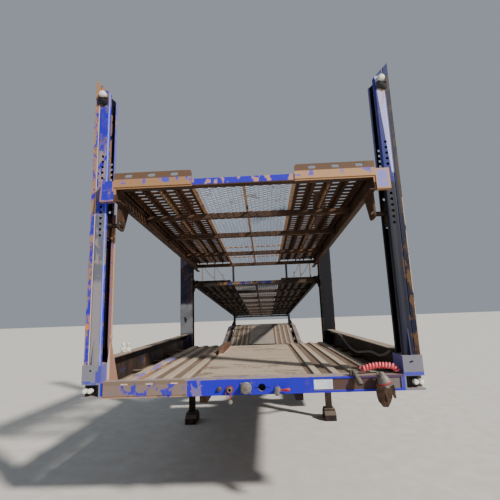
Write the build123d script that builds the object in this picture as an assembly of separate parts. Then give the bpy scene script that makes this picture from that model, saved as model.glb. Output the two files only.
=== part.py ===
from build123d import *
from collections import namedtuple
import math
import os

# Two-deck car transporter semi-trailer, uncoupled and standing on its landing legs.
# Millimetres, +Z up, front towards -Y, origin on the ground at the middle of the trailer.


def spaced(first, last, count):
    """Evenly spaced places from the first to the last."""
    return [first + (last - first) * step / (count - 1) for step in range(count)]


# Overall sizes
HALF_WIDTH = 1275
HALF_LENGTH = 6315
PLATE = 8
FIT = 0.3

# Heights of the lower deck's driving surface
NECK_TOP = 1130
WELL_TOP = 620
HUMP_TOP = 1090

# Stations along the trailer
HANGING_REACH = 115
NECK_LENGTH = 2750
NECK_RAMP_LENGTH = 1850
AXLE_RAMP_LENGTH = 2000
HUMP_LENGTH = 1765
TAIL_BEAM_DEPTH = 80
TAIL_LAMP_DEPTH = 20
BEAM_FACE_Y = HANGING_REACH - HALF_LENGTH
NECK_END_Y = BEAM_FACE_Y + NECK_LENGTH
NECK_RAMP_END_Y = NECK_END_Y + NECK_RAMP_LENGTH
TAIL_REAR_Y = HALF_LENGTH - TAIL_LAMP_DEPTH
TAIL_FACE_Y = TAIL_REAR_Y - TAIL_BEAM_DEPTH
HUMP_START_Y = TAIL_FACE_Y - HUMP_LENGTH
AXLE_RAMP_START_Y = HUMP_START_Y - AXLE_RAMP_LENGTH
SLOPE_LEAD = 60

# Front cross beam
BEAM_DEPTH = 120
BEAM_BOTTOM = 1018
CORNER_INNER_X = HALF_WIDTH - 145
CORNER_DEPTH = 200
POST_BASE_TOP = 1262
FACE_INNER_X = 470
FACE_OUTER_X = CORNER_INNER_X - 24
FACE_MARGIN = 16
FACE_RISE = 10
GUSSET_WIDTH = 84
SOCKET_RADIUS = 27.5
SOCKET_DEPTH = 60
SOCKET_X = 87
SOCKET_Z = 1067

# Slots in the plates that stand before the wheel tracks
SLOT_XS = [HALF_WIDTH * share for share in (0.44, 0.588, 0.737)]
SLOT_WIDTH = 62

# Folded wheel tracks of the lower deck
NECK_TRACK_X = 450
TRACK_INNER_X = 410
TRACK_OUTER_X = CORNER_INNER_X - 100
TRACK_DEPTH = 50
TRACK_SHEET = 6
TRACK_RIB = 14
TRACK_RIB_COUNT = 4
TRACK_RIB_SHARE = 0.36
CHOCK_LENGTH = 880
CHOCK_REAR_Y = NECK_END_Y - 220
CHOCK_FRONT_Y = CHOCK_REAR_Y - CHOCK_LENGTH
CHOCK_HEIGHT = 84
CHOCK_WIDTH = 58
CHOCK_SLANT = 50

# Side sills and main beams
SILL_INNER_X = CORNER_INNER_X
SILL_OUTER_X = HALF_WIDTH - 40
SILL_TOP = 1290
SILL_BOTTOM = 1040
BEAM_WELL_TOP = 650
BEAM_WELL_BOTTOM = 420
BEAM_HUMP_DEPTH = 140
BEAM_RIM = 14
BEAM_RIM_STAND = 18
STIFFENER_YS = spaced(NECK_END_Y + 1250, AXLE_RAMP_START_Y - 650, 5)
FRAME_INNER_X = 430
FRAME_OUTER_X = 510
FRAME_BOTTOM = 700
RAMP_SHELF = 940
CROSSMEMBER_WIDTH = 80
NECK_MEMBER = 60
NECK_CROSS_YS = [BEAM_FACE_Y + step for step in (300, 900, 1550, 2150, NECK_LENGTH - NECK_MEMBER)]
NECK_BEAM_X = 340
WELL_CROSS_YS = spaced(NECK_END_Y + 750, AXLE_RAMP_START_Y - 350, 7)
RAMP_CROSS_YS = (AXLE_RAMP_START_Y + 450, HUMP_START_Y - 750)
HUMP_CROSS_YS = (HUMP_START_Y + 200, TAIL_FACE_Y - 315)

# Loading ramps stowed under the tail, and the underrun bar
STOWED_RAMP_INNER_X = 35
STOWED_RAMP_WIDTH = 360
STOWED_RAMP_BAR = 30
STOWED_RAMP_DEPTH = 60
STOWED_RAMP_FRONT_Y = HUMP_START_Y - 50
RUNG_END_GAP = 105
RUNG_WIDTH = 40
RUNG_COUNT = 13
UNDERRUN_BOTTOM = 440
UNDERRUN_TOP = 560
UNDERRUN_DEPTH = 90
UNDERRUN_HALF = HALF_WIDTH - 125
UNDERRUN_HANGER_X = 600
UNDERRUN_HANGER = 60

# Coupling: rubbing plate and kingpin
COUPLER_BOTTOM = 930
COUPLER_PLATE = 12
KINGPIN_Y = BEAM_FACE_Y + 1250
KINGPIN_RADIUS = 25.4
KINGPIN_FLANGE = 36.5
KINGPIN_LENGTH = 84
KINGPIN_HEAD = 12
KINGPIN_COLLAR = 25
COUPLER_FRONT_Y = KINGPIN_Y - 550
COUPLER_REAR_Y = KINGPIN_Y + 550
COUPLER_HALF = 450

# Lamps
MARKER_X = HALF_WIDTH - 67
MARKER_Z = 3547
HOLDER_DEPTH = 14
LAMP_RECESS = 60
CORNER_LAMP_XS = (HALF_WIDTH - 61, HALF_WIDTH - 22)
CORNER_LAMP_Z = 1072
TAIL_LAMP_OUTER_X = HALF_WIDTH - 55
TAIL_LAMP_INNER_X = TAIL_LAMP_OUTER_X - 360
TAIL_LAMP_HEIGHT = 100

# Posts: C-channels with lips, open towards the middle of the trailer
Post = namedtuple("Post", "front depth inner outer lip bottom top fall")
POST_WALL = 8
POST_FOLD = 12
FRONT_POST = Post(BEAM_FACE_Y + 20, 175, HALF_WIDTH - 128, SILL_OUTER_X, 36, POST_BASE_TOP, 3695, 135)
MID_POST = Post(NECK_END_Y + 380, 170, HALF_WIDTH - 203, HALF_WIDTH, 26, BEAM_WELL_TOP, 3640, 0)
REAR_POST = Post(TAIL_FACE_Y - 675, 110, HALF_WIDTH - 207, HALF_WIDTH - 125, 26, HUMP_TOP, 3520, 0)
POST_FOOT_PLATE = 12
CARRIAGE_GAP = 5
CARRIAGE_HEIGHT = 200
SHOE_HEIGHT = 50

# Locking holes of the front posts
HoleRow = namedtuple("HoleRow", "lowest count")
LOCK_HOLE_RADIUS = 12
LOCK_HOLE_PITCH = 48.5
LOCK_HOLE_X = HALF_WIDTH - 85
LOCK_HOLE_ROWS = (HoleRow(2279, 6), HoleRow(2773, 5))

# Side rails and cross members of the upper decks
RAIL_OUTER_X = HALF_WIDTH - 215
RAIL_INNER_X = RAIL_OUTER_X - 56
RAIL_WEB = 16
CROSS_WIDTH = 40
CROSS_DEPTH = 55
PIN_RADIUS = 20
PIN_CLEARANCE = 0.05
SLOT_CLEARANCE = 5

# Wheel tracks and walkway of the upper decks
UPPER_TRACK_X = 442
UPPER_TRACK_DROP = 10
UPPER_TRACK_SHEET = 6
SLOT_COLUMNS = 4
SLOT_LENGTH = 62
SLOT_OPENING = 30
FRONT_SLOT_PITCH = 122
REAR_SLOT_PITCH = 366
WALKWAY_X = 440
WALKWAY_BAR = 24
WALKWAY_PITCH = 360
WALKWAY_COLUMNS = 4
WALKWAY_DEPTH = 10

# Upper front deck, drawn level and turned about its rear pins
FRONT_DECK_SLOPE = 2.9
FRONT_DECK_FRONT_Y = BEAM_FACE_Y - 50
FRONT_DECK_REAR_Y = MID_POST.front + 370
FRONT_DECK_PIN_Y = MID_POST.front + MID_POST.depth / 2
FRONT_DECK_PIN_Z = 2465
FRONT_TOP = FRONT_DECK_PIN_Z + 85
FRONT_RAIL_HEIGHT = 175
FRONT_BRACKET_PIN_Z = 2375
FRONT_CROSS = [FRONT_DECK_FRONT_Y + step for step in (760, 1520, 2585)] + [FRONT_DECK_REAR_Y - CROSS_WIDTH]
FRONT_DECK_LOWER = 6
FRONT_DECK_RAISE = 2
END_BLOCK_X = HALF_WIDTH - 105
END_BLOCK_DEPTH = 45
LIP_TOP = 68
LIP_BOTTOM = -57

# Upper rear deck, drawn level and turned about its front pins
REAR_DECK_SLOPE = 4.58
REAR_DECK_FRONT_Y = MID_POST.front + MID_POST.depth + 5
REAR_DECK_REAR_Y = TAIL_FACE_Y - 425
REAR_RAIL_HEIGHT = 120
REAR_DECK_PIN_Y = REAR_DECK_FRONT_Y + 95
REAR_DECK_PIN_Z = 2120
REAR_TOP = REAR_DECK_PIN_Z + 60
REAR_CROSS_COUNT = 9
REAR_DECK_LOWER = 1
REAR_DECK_RAISE = 12.5
STANCHION_YS = spaced(REAR_DECK_FRONT_Y + 595, REAR_DECK_REAR_Y - 1290, 5)
STANCHION_RADIUS = 13
STANCHION_HEIGHT = 850

# Running gear
AXLE_PITCH = 1250
REAR_AXLE_Y = TAIL_FACE_Y - 815
AXLE_YS = (REAR_AXLE_Y - AXLE_PITCH, REAR_AXLE_Y)
TYRE_RADIUS = 395
TYRE_WIDTH = 240
TYRE_SHOULDER = 30
TWIN_PITCH = 285
WHEEL_X = HALF_WIDTH - 263
RIM_RADIUS = 225
RIM_DISC_RADIUS = 150
HAND_HOLE_RADIUS = 16
HAND_HOLES = 8
AXLE_RADIUS = 62
SPINDLE_RADIUS = 30
HUB_INNER = 118
HUB_BORE_END = 90
MUDGUARD_GAP = 36
MUDGUARD_SHEET = 5
MUDGUARD_OUTER_X = HALF_WIDTH - 5
MUDGUARD_INNER_X = MUDGUARD_OUTER_X - 530
MUDGUARD_STAY_YS = (AXLE_YS[0] + 410, AXLE_YS[1] - 300)
MUDGUARD_END_ANGLE = 18

# Landing legs
LEG_X = HALF_WIDTH - 235
LEG_Y = NECK_END_Y + 180
LEG_TUBE = 110
LEG_TOP = 1000
LEG_TUBE_BOTTOM = 420
LEG_STEP = 12
BRACE_END_Y = LEG_Y - 780
FOOT_HEIGHT = 130
CROSS_SHAFT_RADIUS = 14


def block(x, y, z):
    """Box between two limits on each axis."""
    size = (x[1] - x[0], y[1] - y[0], z[1] - z[0])
    centre = ((x[0] + x[1]) / 2, (y[0] + y[1]) / 2, (z[0] + z[1]) / 2)
    return Pos(*centre) * Box(*size)


def outline(points, radius=0):
    """Face in the sketch plane inside a closed run of points, its corners rounded where radii are given."""
    if radius:
        return make_face(FilletPolyline(*points, radius=radius, close=True))
    return make_face(Polyline(*points, close=True))


def along_x(points, x0, x1, radius=0):
    """Profile drawn in y and z, drawn out from x0 to x1."""
    face = Plane((x0, 0, 0), x_dir=(0, 1, 0), z_dir=(1, 0, 0)) * outline(points, radius)
    return extrude(face, amount=x1 - x0)


def along_y(points, y0, y1, radius=0):
    """Profile drawn in x and z, drawn out from y0 to y1."""
    face = Plane((0, y1, 0), x_dir=(1, 0, 0), z_dir=(0, -1, 0)) * outline(points, radius)
    return extrude(face, amount=y1 - y0)


def along_z(points, z0, z1, radius=0):
    """Profile drawn in x and y, drawn out from z0 to z1."""
    return extrude(Pos(0, 0, z0) * outline(points, radius), amount=z1 - z0)


def rod_x(radius, x0, x1, y, z):
    """Round bar along x."""
    return Pos((x0 + x1) / 2, y, z) * Rot(0, 90, 0) * Cylinder(radius, abs(x1 - x0))


def rod_y(radius, y0, y1, x, z):
    """Round bar along y."""
    return Pos(x, (y0 + y1) / 2, z) * Rot(90, 0, 0) * Cylinder(radius, abs(y1 - y0))


def rod_z(radius, z0, z1, x, y):
    """Round bar along z."""
    return Pos(x, y, (z0 + z1) / 2) * Cylinder(radius, abs(z1 - z0))


def turned(points, x, y, z):
    """Ring turned about an axis along x through (x, y, z), from points of x and radius."""
    return Pos(x, y, z) * revolve(outline(points), axis=Axis.X, revolution_arc=360)


def fitting(points, x, y, z):
    """Part turned about an axis that points to the front from (x, y, z), from points of radius and reach."""
    face = Plane((x, y, z), x_dir=(1, 0, 0), z_dir=(0, 0, 1)) * outline([(r, -reach) for r, reach in points])
    return revolve(face, axis=Axis((x, y, z), (0, 1, 0)), revolution_arc=360)


def other_side(shape):
    """The same shape on the left of the trailer."""
    return mirror(shape, about=Plane.YZ)


def both_sides(shape):
    """A right-hand shape and its mirror image, as separate solids."""
    return [shape, other_side(shape)]


def group(shapes):
    """Solids that share a node without being fused."""
    solids = []
    for shape in shapes:
        solids.extend(shape.solids())
    return Compound(children=solids)


def fuse(shapes):
    """One body from overlapping or touching shapes."""
    body = shapes[0]
    for shape in shapes[1:]:
        body = body + shape
    return body


def line_height(line, y):
    """Height at y of a line of the side view."""
    for (y0, z0), (y1, z1) in zip(line, line[1:]):
        if y0 <= y <= y1:
            return z0 + (z1 - z0) * (y - y0) / (y1 - y0)
    return line[-1][1]


NECK_LINE = [(BEAM_FACE_Y + BEAM_DEPTH, NECK_TOP), (NECK_END_Y, NECK_TOP)]
WELL_LINE = [(NECK_END_Y + FIT, NECK_TOP), (NECK_END_Y + SLOPE_LEAD, NECK_TOP), (NECK_RAMP_END_Y, WELL_TOP),
             (AXLE_RAMP_START_Y, WELL_TOP)]
HUMP_LINE = [(AXLE_RAMP_START_Y + FIT, WELL_TOP), (AXLE_RAMP_START_Y + SLOPE_LEAD, WELL_TOP),
             (HUMP_START_Y, HUMP_TOP), (TAIL_FACE_Y, HUMP_TOP)]
RAMP_ANGLE = math.atan2(HUMP_TOP - WELL_TOP, HUMP_START_Y - AXLE_RAMP_START_Y - SLOPE_LEAD)
RAMP_DROP = TRACK_DEPTH / math.cos(RAMP_ANGLE) + FIT
NECK_RAMP_ANGLE = math.atan2(NECK_TOP - WELL_TOP, NECK_RAMP_END_Y - NECK_END_Y - SLOPE_LEAD)
NECK_RAMP_DROP = TRACK_DEPTH / math.cos(NECK_RAMP_ANGLE) + FIT


def channel_outline(post):
    """C-section with lips, drawn in x and y, open towards x = 0."""
    front, back = post.front, post.front + post.depth
    wall_in, wall_out = post.inner + POST_WALL, post.outer - POST_WALL
    return [
        (post.inner, front), (post.outer, front), (post.outer, back), (post.inner, back),
        (post.inner, back - post.lip), (wall_in, back - post.lip), (wall_in, back - POST_WALL),
        (wall_out, back - POST_WALL), (wall_out, front + POST_WALL), (wall_in, front + POST_WALL),
        (wall_in, front + post.lip), (post.inner, front + post.lip),
    ]


def post_channel(post):
    """Right-hand channel with rounded folds."""
    return along_z(channel_outline(post), post.bottom, post.top, [POST_FOLD] * 4 + [0] * 8)


def front_post():
    """Right-hand front post with its outer strip, pointed top, foot gussets and rows of locking holes."""
    post = FRONT_POST
    back = post.front + post.depth
    strip_back = post.front + 60
    strip = block((post.outer, HALF_WIDTH), (post.front, strip_back), (post.bottom, post.top))
    gusset_inner = post.outer - PLATE
    gusset_side = [
        (gusset_inner, post.bottom), (HALF_WIDTH, post.bottom), (HALF_WIDTH, post.bottom + 40),
        (gusset_inner, post.bottom + 230),
    ]
    gusset = along_y(gusset_side, strip_back, back)
    falling = [(post.inner, post.top - post.fall), (HALF_WIDTH, post.top), (HALF_WIDTH, post.top + 1),
               (post.inner - 1, post.top + 1), (post.inner - 1, post.top - post.fall)]
    above = along_y(falling, post.front - 1, back + 1)
    body = fuse([post_channel(post), strip, gusset]) - above
    for row in LOCK_HOLE_ROWS:
        for step in range(row.count):
            z = row.lowest + step * LOCK_HOLE_PITCH
            body = body - rod_y(LOCK_HOLE_RADIUS, post.front - 5, back + 5, LOCK_HOLE_X, z)
    return body


def mid_post():
    """Right-hand middle post with the bracket that carries the rear deck's front pin."""
    back = MID_POST.front + MID_POST.depth
    plate_inner = RAIL_OUTER_X + 8
    reach = REAR_DECK_PIN_Y + 45
    side = [
        (back - 2, REAR_DECK_PIN_Z - 130), (reach, REAR_DECK_PIN_Z - 45), (reach, REAR_DECK_PIN_Z + 45),
        (back - 2, REAR_DECK_PIN_Z + 90),
    ]
    bracket = along_x(side, plate_inner, plate_inner + 24, [0, 30, 30, 0])
    pin = rod_x(PIN_RADIUS, RAIL_INNER_X + 12, plate_inner + 12, REAR_DECK_PIN_Y, REAR_DECK_PIN_Z)
    return fuse([post_channel(MID_POST), bracket, pin])


def rear_post():
    """Right-hand rear post on its foot plate."""
    post = REAR_POST
    foot = block((post.inner - 4, SILL_OUTER_X), (post.front - 60, post.front + post.depth + 60),
                 (post.bottom, post.bottom + POST_FOOT_PLATE))
    gusset_inner, gusset_y = post.outer - PLATE, post.front + post.depth / 2
    gusset_side = [
        (gusset_inner, post.bottom), (SILL_OUTER_X, post.bottom),
        (SILL_OUTER_X, post.bottom + POST_FOOT_PLATE + 20), (gusset_inner, post.bottom + 220),
    ]
    gusset = along_y(gusset_side, gusset_y - PLATE, gusset_y)
    return fuse([post_channel(post), foot, gusset])


def face_plate(x0, x1, bottom, top, thickness, y, slot_z, slot_height):
    """Right-hand plate before a wheel track, with a rounded inner corner and three slots."""
    plate = along_y([(x0, bottom), (x1, bottom), (x1, top), (x0, top)], y - thickness, y, [0, 0, 6, 24])
    for x in SLOT_XS:
        x0, x1 = x - SLOT_WIDTH / 2, x + SLOT_WIDTH / 2
        corners = [(x0, slot_z), (x1, slot_z), (x1, slot_z + slot_height), (x0, slot_z + slot_height)]
        plate = plate - along_y(corners, y - thickness - 1, y + 1, slot_height / 2 - 1)
    return plate


def front_beam():
    """Front cross beam with its corner boxes, raised face plate, recess and open socket."""
    back = BEAM_FACE_Y + BEAM_DEPTH
    tube = block((-CORNER_INNER_X, CORNER_INNER_X), (BEAM_FACE_Y, back), (BEAM_BOTTOM, NECK_TOP))
    corner = block((CORNER_INNER_X, HALF_WIDTH), (BEAM_FACE_Y, BEAM_FACE_Y + CORNER_DEPTH),
                   (BEAM_BOTTOM, POST_BASE_TOP))
    lamp_recess = block((CORNER_INNER_X + 12, HALF_WIDTH + 1), (BEAM_FACE_Y - 1, BEAM_FACE_Y + LAMP_RECESS),
                        (BEAM_BOTTOM + 12, NECK_TOP - 12))
    rib_x = FRONT_POST.outer - 40
    post_face = FRONT_POST.front
    rib_side = [
        (post_face, POST_BASE_TOP - 1), (BEAM_FACE_Y + 2, POST_BASE_TOP - 1), (BEAM_FACE_Y + 2, POST_BASE_TOP),
        (post_face, POST_BASE_TOP + 190),
    ]
    corner = corner - lamp_recess + along_x(rib_side, rib_x, rib_x + PLATE)
    step = block((FACE_INNER_X, FACE_OUTER_X), (BEAM_FACE_Y - 1, BEAM_FACE_Y + PLATE),
                 (BEAM_BOTTOM + FACE_MARGIN, NECK_TOP - FACE_MARGIN))
    plate = face_plate(FACE_INNER_X, FACE_OUTER_X, BEAM_BOTTOM + FACE_MARGIN, NECK_TOP + FACE_RISE, PLATE,
                       BEAM_FACE_Y, NECK_TOP - 18, 14)
    gusset_side = [
        (CORNER_INNER_X, NECK_TOP), (CORNER_INNER_X - GUSSET_WIDTH, NECK_TOP),
        (CORNER_INNER_X - 20, POST_BASE_TOP + 190), (CORNER_INNER_X, POST_BASE_TOP),
    ]
    gusset = along_y(gusset_side, back - PLATE, back)
    socket = rod_y(SOCKET_RADIUS, BEAM_FACE_Y - 1, BEAM_FACE_Y + SOCKET_DEPTH, SOCKET_X, SOCKET_Z)
    return fuse([tube, corner, other_side(corner), other_side(plate), other_side(gusset)]) - step - socket


def neck_frame():
    """Side sills of the neck with the cross members and the two coupling beams between them."""
    back = BEAM_FACE_Y + BEAM_DEPTH
    under = NECK_TOP - TRACK_DEPTH
    section = [
        (SILL_INNER_X, SILL_BOTTOM), (SILL_OUTER_X, SILL_BOTTOM), (SILL_OUTER_X, SILL_TOP),
        (SILL_INNER_X, SILL_TOP), (SILL_INNER_X, SILL_TOP - PLATE), (SILL_OUTER_X - PLATE, SILL_TOP - PLATE),
        (SILL_OUTER_X - PLATE, SILL_BOTTOM + PLATE), (SILL_INNER_X, SILL_BOTTOM + PLATE),
    ]
    sill = along_y(section, BEAM_FACE_Y + CORNER_DEPTH, MID_POST.front, [0, 10, 10, 0, 0, 0, 0, 0])
    parts = [sill, other_side(sill)]
    web = SILL_OUTER_X - PLATE
    for y in NECK_CROSS_YS:
        parts.append(block((-web, web), (y, y + NECK_MEMBER), (SILL_BOTTOM, under)))
    for x in (-NECK_BEAM_X - NECK_MEMBER, NECK_BEAM_X):
        parts.append(block((x, x + NECK_MEMBER), (back, NECK_END_Y), (COUPLER_BOTTOM + COUPLER_PLATE, under)))
    return fuse(parts)


def kingpin_plate():
    """Rubbing plate, bevelled at its front edge, with the kingpin below it."""
    top = COUPLER_BOTTOM + COUPLER_PLATE
    bevel = COUPLER_PLATE - 2
    side = [
        (COUPLER_FRONT_Y, top - 2), (COUPLER_FRONT_Y + 3 * bevel, COUPLER_BOTTOM),
        (COUPLER_REAR_Y, COUPLER_BOTTOM), (COUPLER_REAR_Y, top), (COUPLER_FRONT_Y, top),
    ]
    plate = along_x(side, -COUPLER_HALF, COUPLER_HALF)
    low = COUPLER_BOTTOM - KINGPIN_LENGTH
    shank = rod_z(KINGPIN_RADIUS, low, COUPLER_BOTTOM, 0, KINGPIN_Y)
    head = rod_z(KINGPIN_FLANGE, low, low + KINGPIN_HEAD, 0, KINGPIN_Y)
    collar = rod_z(KINGPIN_FLANGE, COUPLER_BOTTOM - KINGPIN_COLLAR, COUPLER_BOTTOM, 0, KINGPIN_Y)
    return fuse([plate, shank, head, collar])


def ribbed_outline(x0, x1):
    """Section of a folded track from z = 0 at its rib tops: raised ribs and an edge folded down each side."""
    pitch = (x1 - x0) / TRACK_RIB_COUNT
    rib = pitch * TRACK_RIB_SHARE
    shoulder = TRACK_RIB / 2
    top = [(x0, -TRACK_RIB)]
    for index in range(TRACK_RIB_COUNT):
        centre = x0 + pitch * (index + 0.5)
        top.append((centre - rib / 2 - shoulder, -TRACK_RIB))
        top.append((centre - rib / 2, 0))
        top.append((centre + rib / 2, 0))
        top.append((centre + rib / 2 + shoulder, -TRACK_RIB))
    top.append((x1, -TRACK_RIB))
    below = [(x, z - TRACK_SHEET) for x, z in reversed(top[1:-1])]
    fold = -TRACK_RIB - TRACK_SHEET
    right = [(x1, -TRACK_DEPTH), (x1 - TRACK_SHEET, -TRACK_DEPTH), (x1 - TRACK_SHEET, fold)]
    left = [(x0 + TRACK_SHEET, fold), (x0 + TRACK_SHEET, -TRACK_DEPTH), (x0, -TRACK_DEPTH)]
    return top + right + below + left


def folded_tracks(x0, line):
    """A pair of ribbed tracks that follow a line of the side view, mitred where the slope changes."""
    path = Polyline(*[(0, y, z) for y, z in line])
    start = Plane(origin=path @ 0, x_dir=(-1, 0, 0), z_dir=path % 0)
    section = start * outline([(-x, z) for x, z in ribbed_outline(x0, TRACK_OUTER_X)])
    return group(both_sides(sweep(section, path=path, transition=Transition.RIGHT)))


def band(line, x0, x1, high, low):
    """Sheet between two heights above a line of the side view, from x0 to x1."""
    top = [(y, z + high) for y, z in line]
    below = [(y, z + low) for y, z in reversed(line)]
    return along_x(top + below, x0, x1)


def centre_plate(line, half, bars):
    """Flat plate between the tracks with bars along its underside."""
    drop = TRACK_RIB
    parts = [band(line, -half, half, -drop, -drop - PLATE)]
    for x in bars:
        parts.append(band(line, x, x + 20, -drop - PLATE + 1, -TRACK_DEPTH))
    return fuse(parts)


def neck_centre_plate():
    """Flat plate between the neck's tracks, with the chock block that lies at its left edge."""
    half = NECK_TRACK_X - 1
    plate = centre_plate(NECK_LINE, half, (-half, -60, 40, half - 20))
    top = NECK_TOP - TRACK_RIB
    crown = top + CHOCK_HEIGHT
    chock_side = [
        (CHOCK_FRONT_Y, top), (CHOCK_FRONT_Y + CHOCK_SLANT, crown), (CHOCK_REAR_Y - CHOCK_SLANT, crown),
        (CHOCK_REAR_Y, top),
    ]
    chock = along_x(chock_side, -half, -half + CHOCK_WIDTH)
    return group([plate, chock])


def hump_centre_plate():
    """Flat plate between the tracks over the axles."""
    half = TRACK_INNER_X - 1
    return centre_plate(HUMP_LINE, half, (-half, -10, half - 20))


def beam_side_outline():
    """Side view of a main beam: drop behind the neck, well, rise over the axles, tail."""
    front = MID_POST.front
    hump_bottom = HUMP_TOP - BEAM_HUMP_DEPTH
    return [
        (front, BEAM_WELL_BOTTOM + 120), (front + 120, BEAM_WELL_BOTTOM),
        (AXLE_RAMP_START_Y + 250, BEAM_WELL_BOTTOM), (AXLE_RAMP_START_Y + 560, BEAM_WELL_BOTTOM + 190),
        (HUMP_START_Y, hump_bottom), (TAIL_FACE_Y, hump_bottom), (TAIL_FACE_Y, HUMP_TOP),
        (HUMP_START_Y, HUMP_TOP), (AXLE_RAMP_START_Y, BEAM_WELL_TOP), (front, BEAM_WELL_TOP),
    ]


def main_beam():
    """Right-hand main beam: box section with a rim round its outer side and stiffeners between."""
    side = beam_side_outline()
    box = along_x(side, SILL_INNER_X, SILL_OUTER_X)
    panel = outline(side)
    inside = offset(panel, amount=-BEAM_RIM, kind=Kind.INTERSECTION)
    plane = Plane((SILL_OUTER_X, 0, 0), x_dir=(0, 1, 0), z_dir=(1, 0, 0))
    rim = extrude(plane * (panel - inside), amount=BEAM_RIM_STAND)
    parts = [box, rim]
    for y in STIFFENER_YS:
        parts.append(block((SILL_OUTER_X, SILL_OUTER_X + BEAM_RIM_STAND), (y, y + PLATE),
                           (BEAM_WELL_BOTTOM + BEAM_RIM / 2, BEAM_WELL_TOP - BEAM_RIM / 2)))
    return fuse(parts)


def well_crossmembers():
    """Cross members between the main beams under the well."""
    parts = []
    for y in WELL_CROSS_YS:
        top = line_height(WELL_LINE, y + CROSSMEMBER_WIDTH) - NECK_RAMP_DROP
        top = min(top, BEAM_WELL_TOP)
        parts.append(block((-SILL_INNER_X, SILL_INNER_X), (y, y + CROSSMEMBER_WIDTH),
                           (BEAM_WELL_BOTTOM + 20, top)))
    return group(parts)


def axle_frame():
    """Longitudinals and cross members that carry the axles under the hump."""
    start = AXLE_RAMP_START_Y + 50
    under = HUMP_TOP - TRACK_DEPTH
    start_top = line_height(HUMP_LINE, start) - RAMP_DROP
    side = [
        (start, BEAM_WELL_BOTTOM + 50), (start, start_top), (HUMP_START_Y, under - 1),
        (TAIL_FACE_Y, under - 1), (TAIL_FACE_Y, under - 180), (TAIL_FACE_Y - 400, FRAME_BOTTOM),
        (start + 900, FRAME_BOTTOM), (start + 250, BEAM_WELL_BOTTOM + 50),
    ]
    rail = along_x(side, FRAME_INNER_X, FRAME_OUTER_X)
    parts = [rail, other_side(rail)]
    for y in RAMP_CROSS_YS:
        top = line_height(HUMP_LINE, y) - RAMP_DROP
        parts.append(block((-SILL_INNER_X, SILL_INNER_X), (y, y + CROSSMEMBER_WIDTH), (top - 60, top)))
    for y in HUMP_CROSS_YS:
        parts.append(block((-FRAME_INNER_X, FRAME_INNER_X), (y, y + CROSSMEMBER_WIDTH),
                           (RAMP_SHELF - 60, RAMP_SHELF)))
        outrigger = along_y([(FRAME_OUTER_X, under), (FRAME_OUTER_X, under - 140), (SILL_INNER_X, under - 80),
                             (SILL_INNER_X, under)], y, y + CROSSMEMBER_WIDTH)
        parts.extend(both_sides(outrigger))
    return fuse(parts)


def loading_ramps():
    """Two loading ramps stowed side by side under the tail: side bars and rungs."""
    right = STOWED_RAMP_INNER_X + STOWED_RAMP_WIDTH
    top = RAMP_SHELF + STOWED_RAMP_DEPTH
    bars = [block((x, x + STOWED_RAMP_BAR), (STOWED_RAMP_FRONT_Y, TAIL_FACE_Y - 10), (RAMP_SHELF, top))
            for x in (STOWED_RAMP_INNER_X, right - STOWED_RAMP_BAR)]
    rungs = []
    for y in spaced(STOWED_RAMP_FRONT_Y + STOWED_RAMP_BAR, TAIL_FACE_Y - RUNG_END_GAP, RUNG_COUNT):
        rungs.append(block((STOWED_RAMP_INNER_X, right), (y, y + RUNG_WIDTH),
                           (top - STOWED_RAMP_DEPTH / 2, top)))
    return group(both_sides(fuse(bars + rungs)))


def rear_beam():
    """Tail cross beam with the hangers of the underrun bar below it."""
    under = HUMP_TOP - 150
    tail = block((-HALF_WIDTH, HALF_WIDTH), (TAIL_FACE_Y, TAIL_REAR_Y), (under, HUMP_TOP))
    parts = [tail]
    hanger = block((UNDERRUN_HANGER_X, UNDERRUN_HANGER_X + UNDERRUN_HANGER), (TAIL_FACE_Y, TAIL_FACE_Y + 40),
                   (UNDERRUN_TOP, under))
    parts.extend(both_sides(hanger))
    rear = TAIL_FACE_Y + UNDERRUN_DEPTH
    section = [
        (TAIL_FACE_Y, UNDERRUN_BOTTOM), (rear, UNDERRUN_BOTTOM), (rear, UNDERRUN_TOP), (TAIL_FACE_Y, UNDERRUN_TOP),
    ]
    parts.append(along_x(section, -UNDERRUN_HALF, UNDERRUN_HALF, 12))
    return fuse(parts)


def suspension():
    """Trailing arms, hangers and air springs of both axles."""
    middle = (FRAME_INNER_X + FRAME_OUTER_X) / 2
    parts = []
    for axle_y in AXLE_YS:
        z = TYRE_RADIUS
        side = [
            (axle_y - 580, z + 165), (axle_y - 480, z + 205), (axle_y - 150, z + 85), (axle_y + 400, z + 45),
            (axle_y + 400, z + 5), (axle_y - 120, z - 75), (axle_y - 580, z + 105),
        ]
        arm = along_x(side, FRAME_INNER_X + 10, FRAME_OUTER_X - 10, [20, 20, 0, 0, 0, 0, 20])
        arm = arm - rod_x(AXLE_RADIUS, FRAME_INNER_X, FRAME_OUTER_X, axle_y, z)
        hanger = block((FRAME_INNER_X, FRAME_OUTER_X), (axle_y - 590, axle_y - 490), (z + 145, FRAME_BOTTOM))
        bag_y = axle_y + 290
        folds = [
            (0, z + 35), (80, z + 35), (80, z + 60), (118, z + 90), (118, z + 170), (108, z + 185),
            (118, z + 200), (118, z + 280), (90, FRAME_BOTTOM), (0, FRAME_BOTTOM),
        ]
        bag = Pos(middle, bag_y, 0) * revolve(Plane.XZ * outline(folds), axis=Axis.Z)
        parts.extend(both_sides(fuse([arm, hanger, bag])))
    return group(parts)


def axle(axle_y):
    """Axle tube with the spindles that carry the hubs."""
    tube_end = WHEEL_X - HUB_INNER - 8
    tube = rod_x(AXLE_RADIUS, -tube_end, tube_end, axle_y, TYRE_RADIUS)
    spindle_end = WHEEL_X + HUB_BORE_END - 6
    spindle = rod_x(SPINDLE_RADIUS, -spindle_end, spindle_end, axle_y, TYRE_RADIUS)
    return tube + spindle


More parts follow.
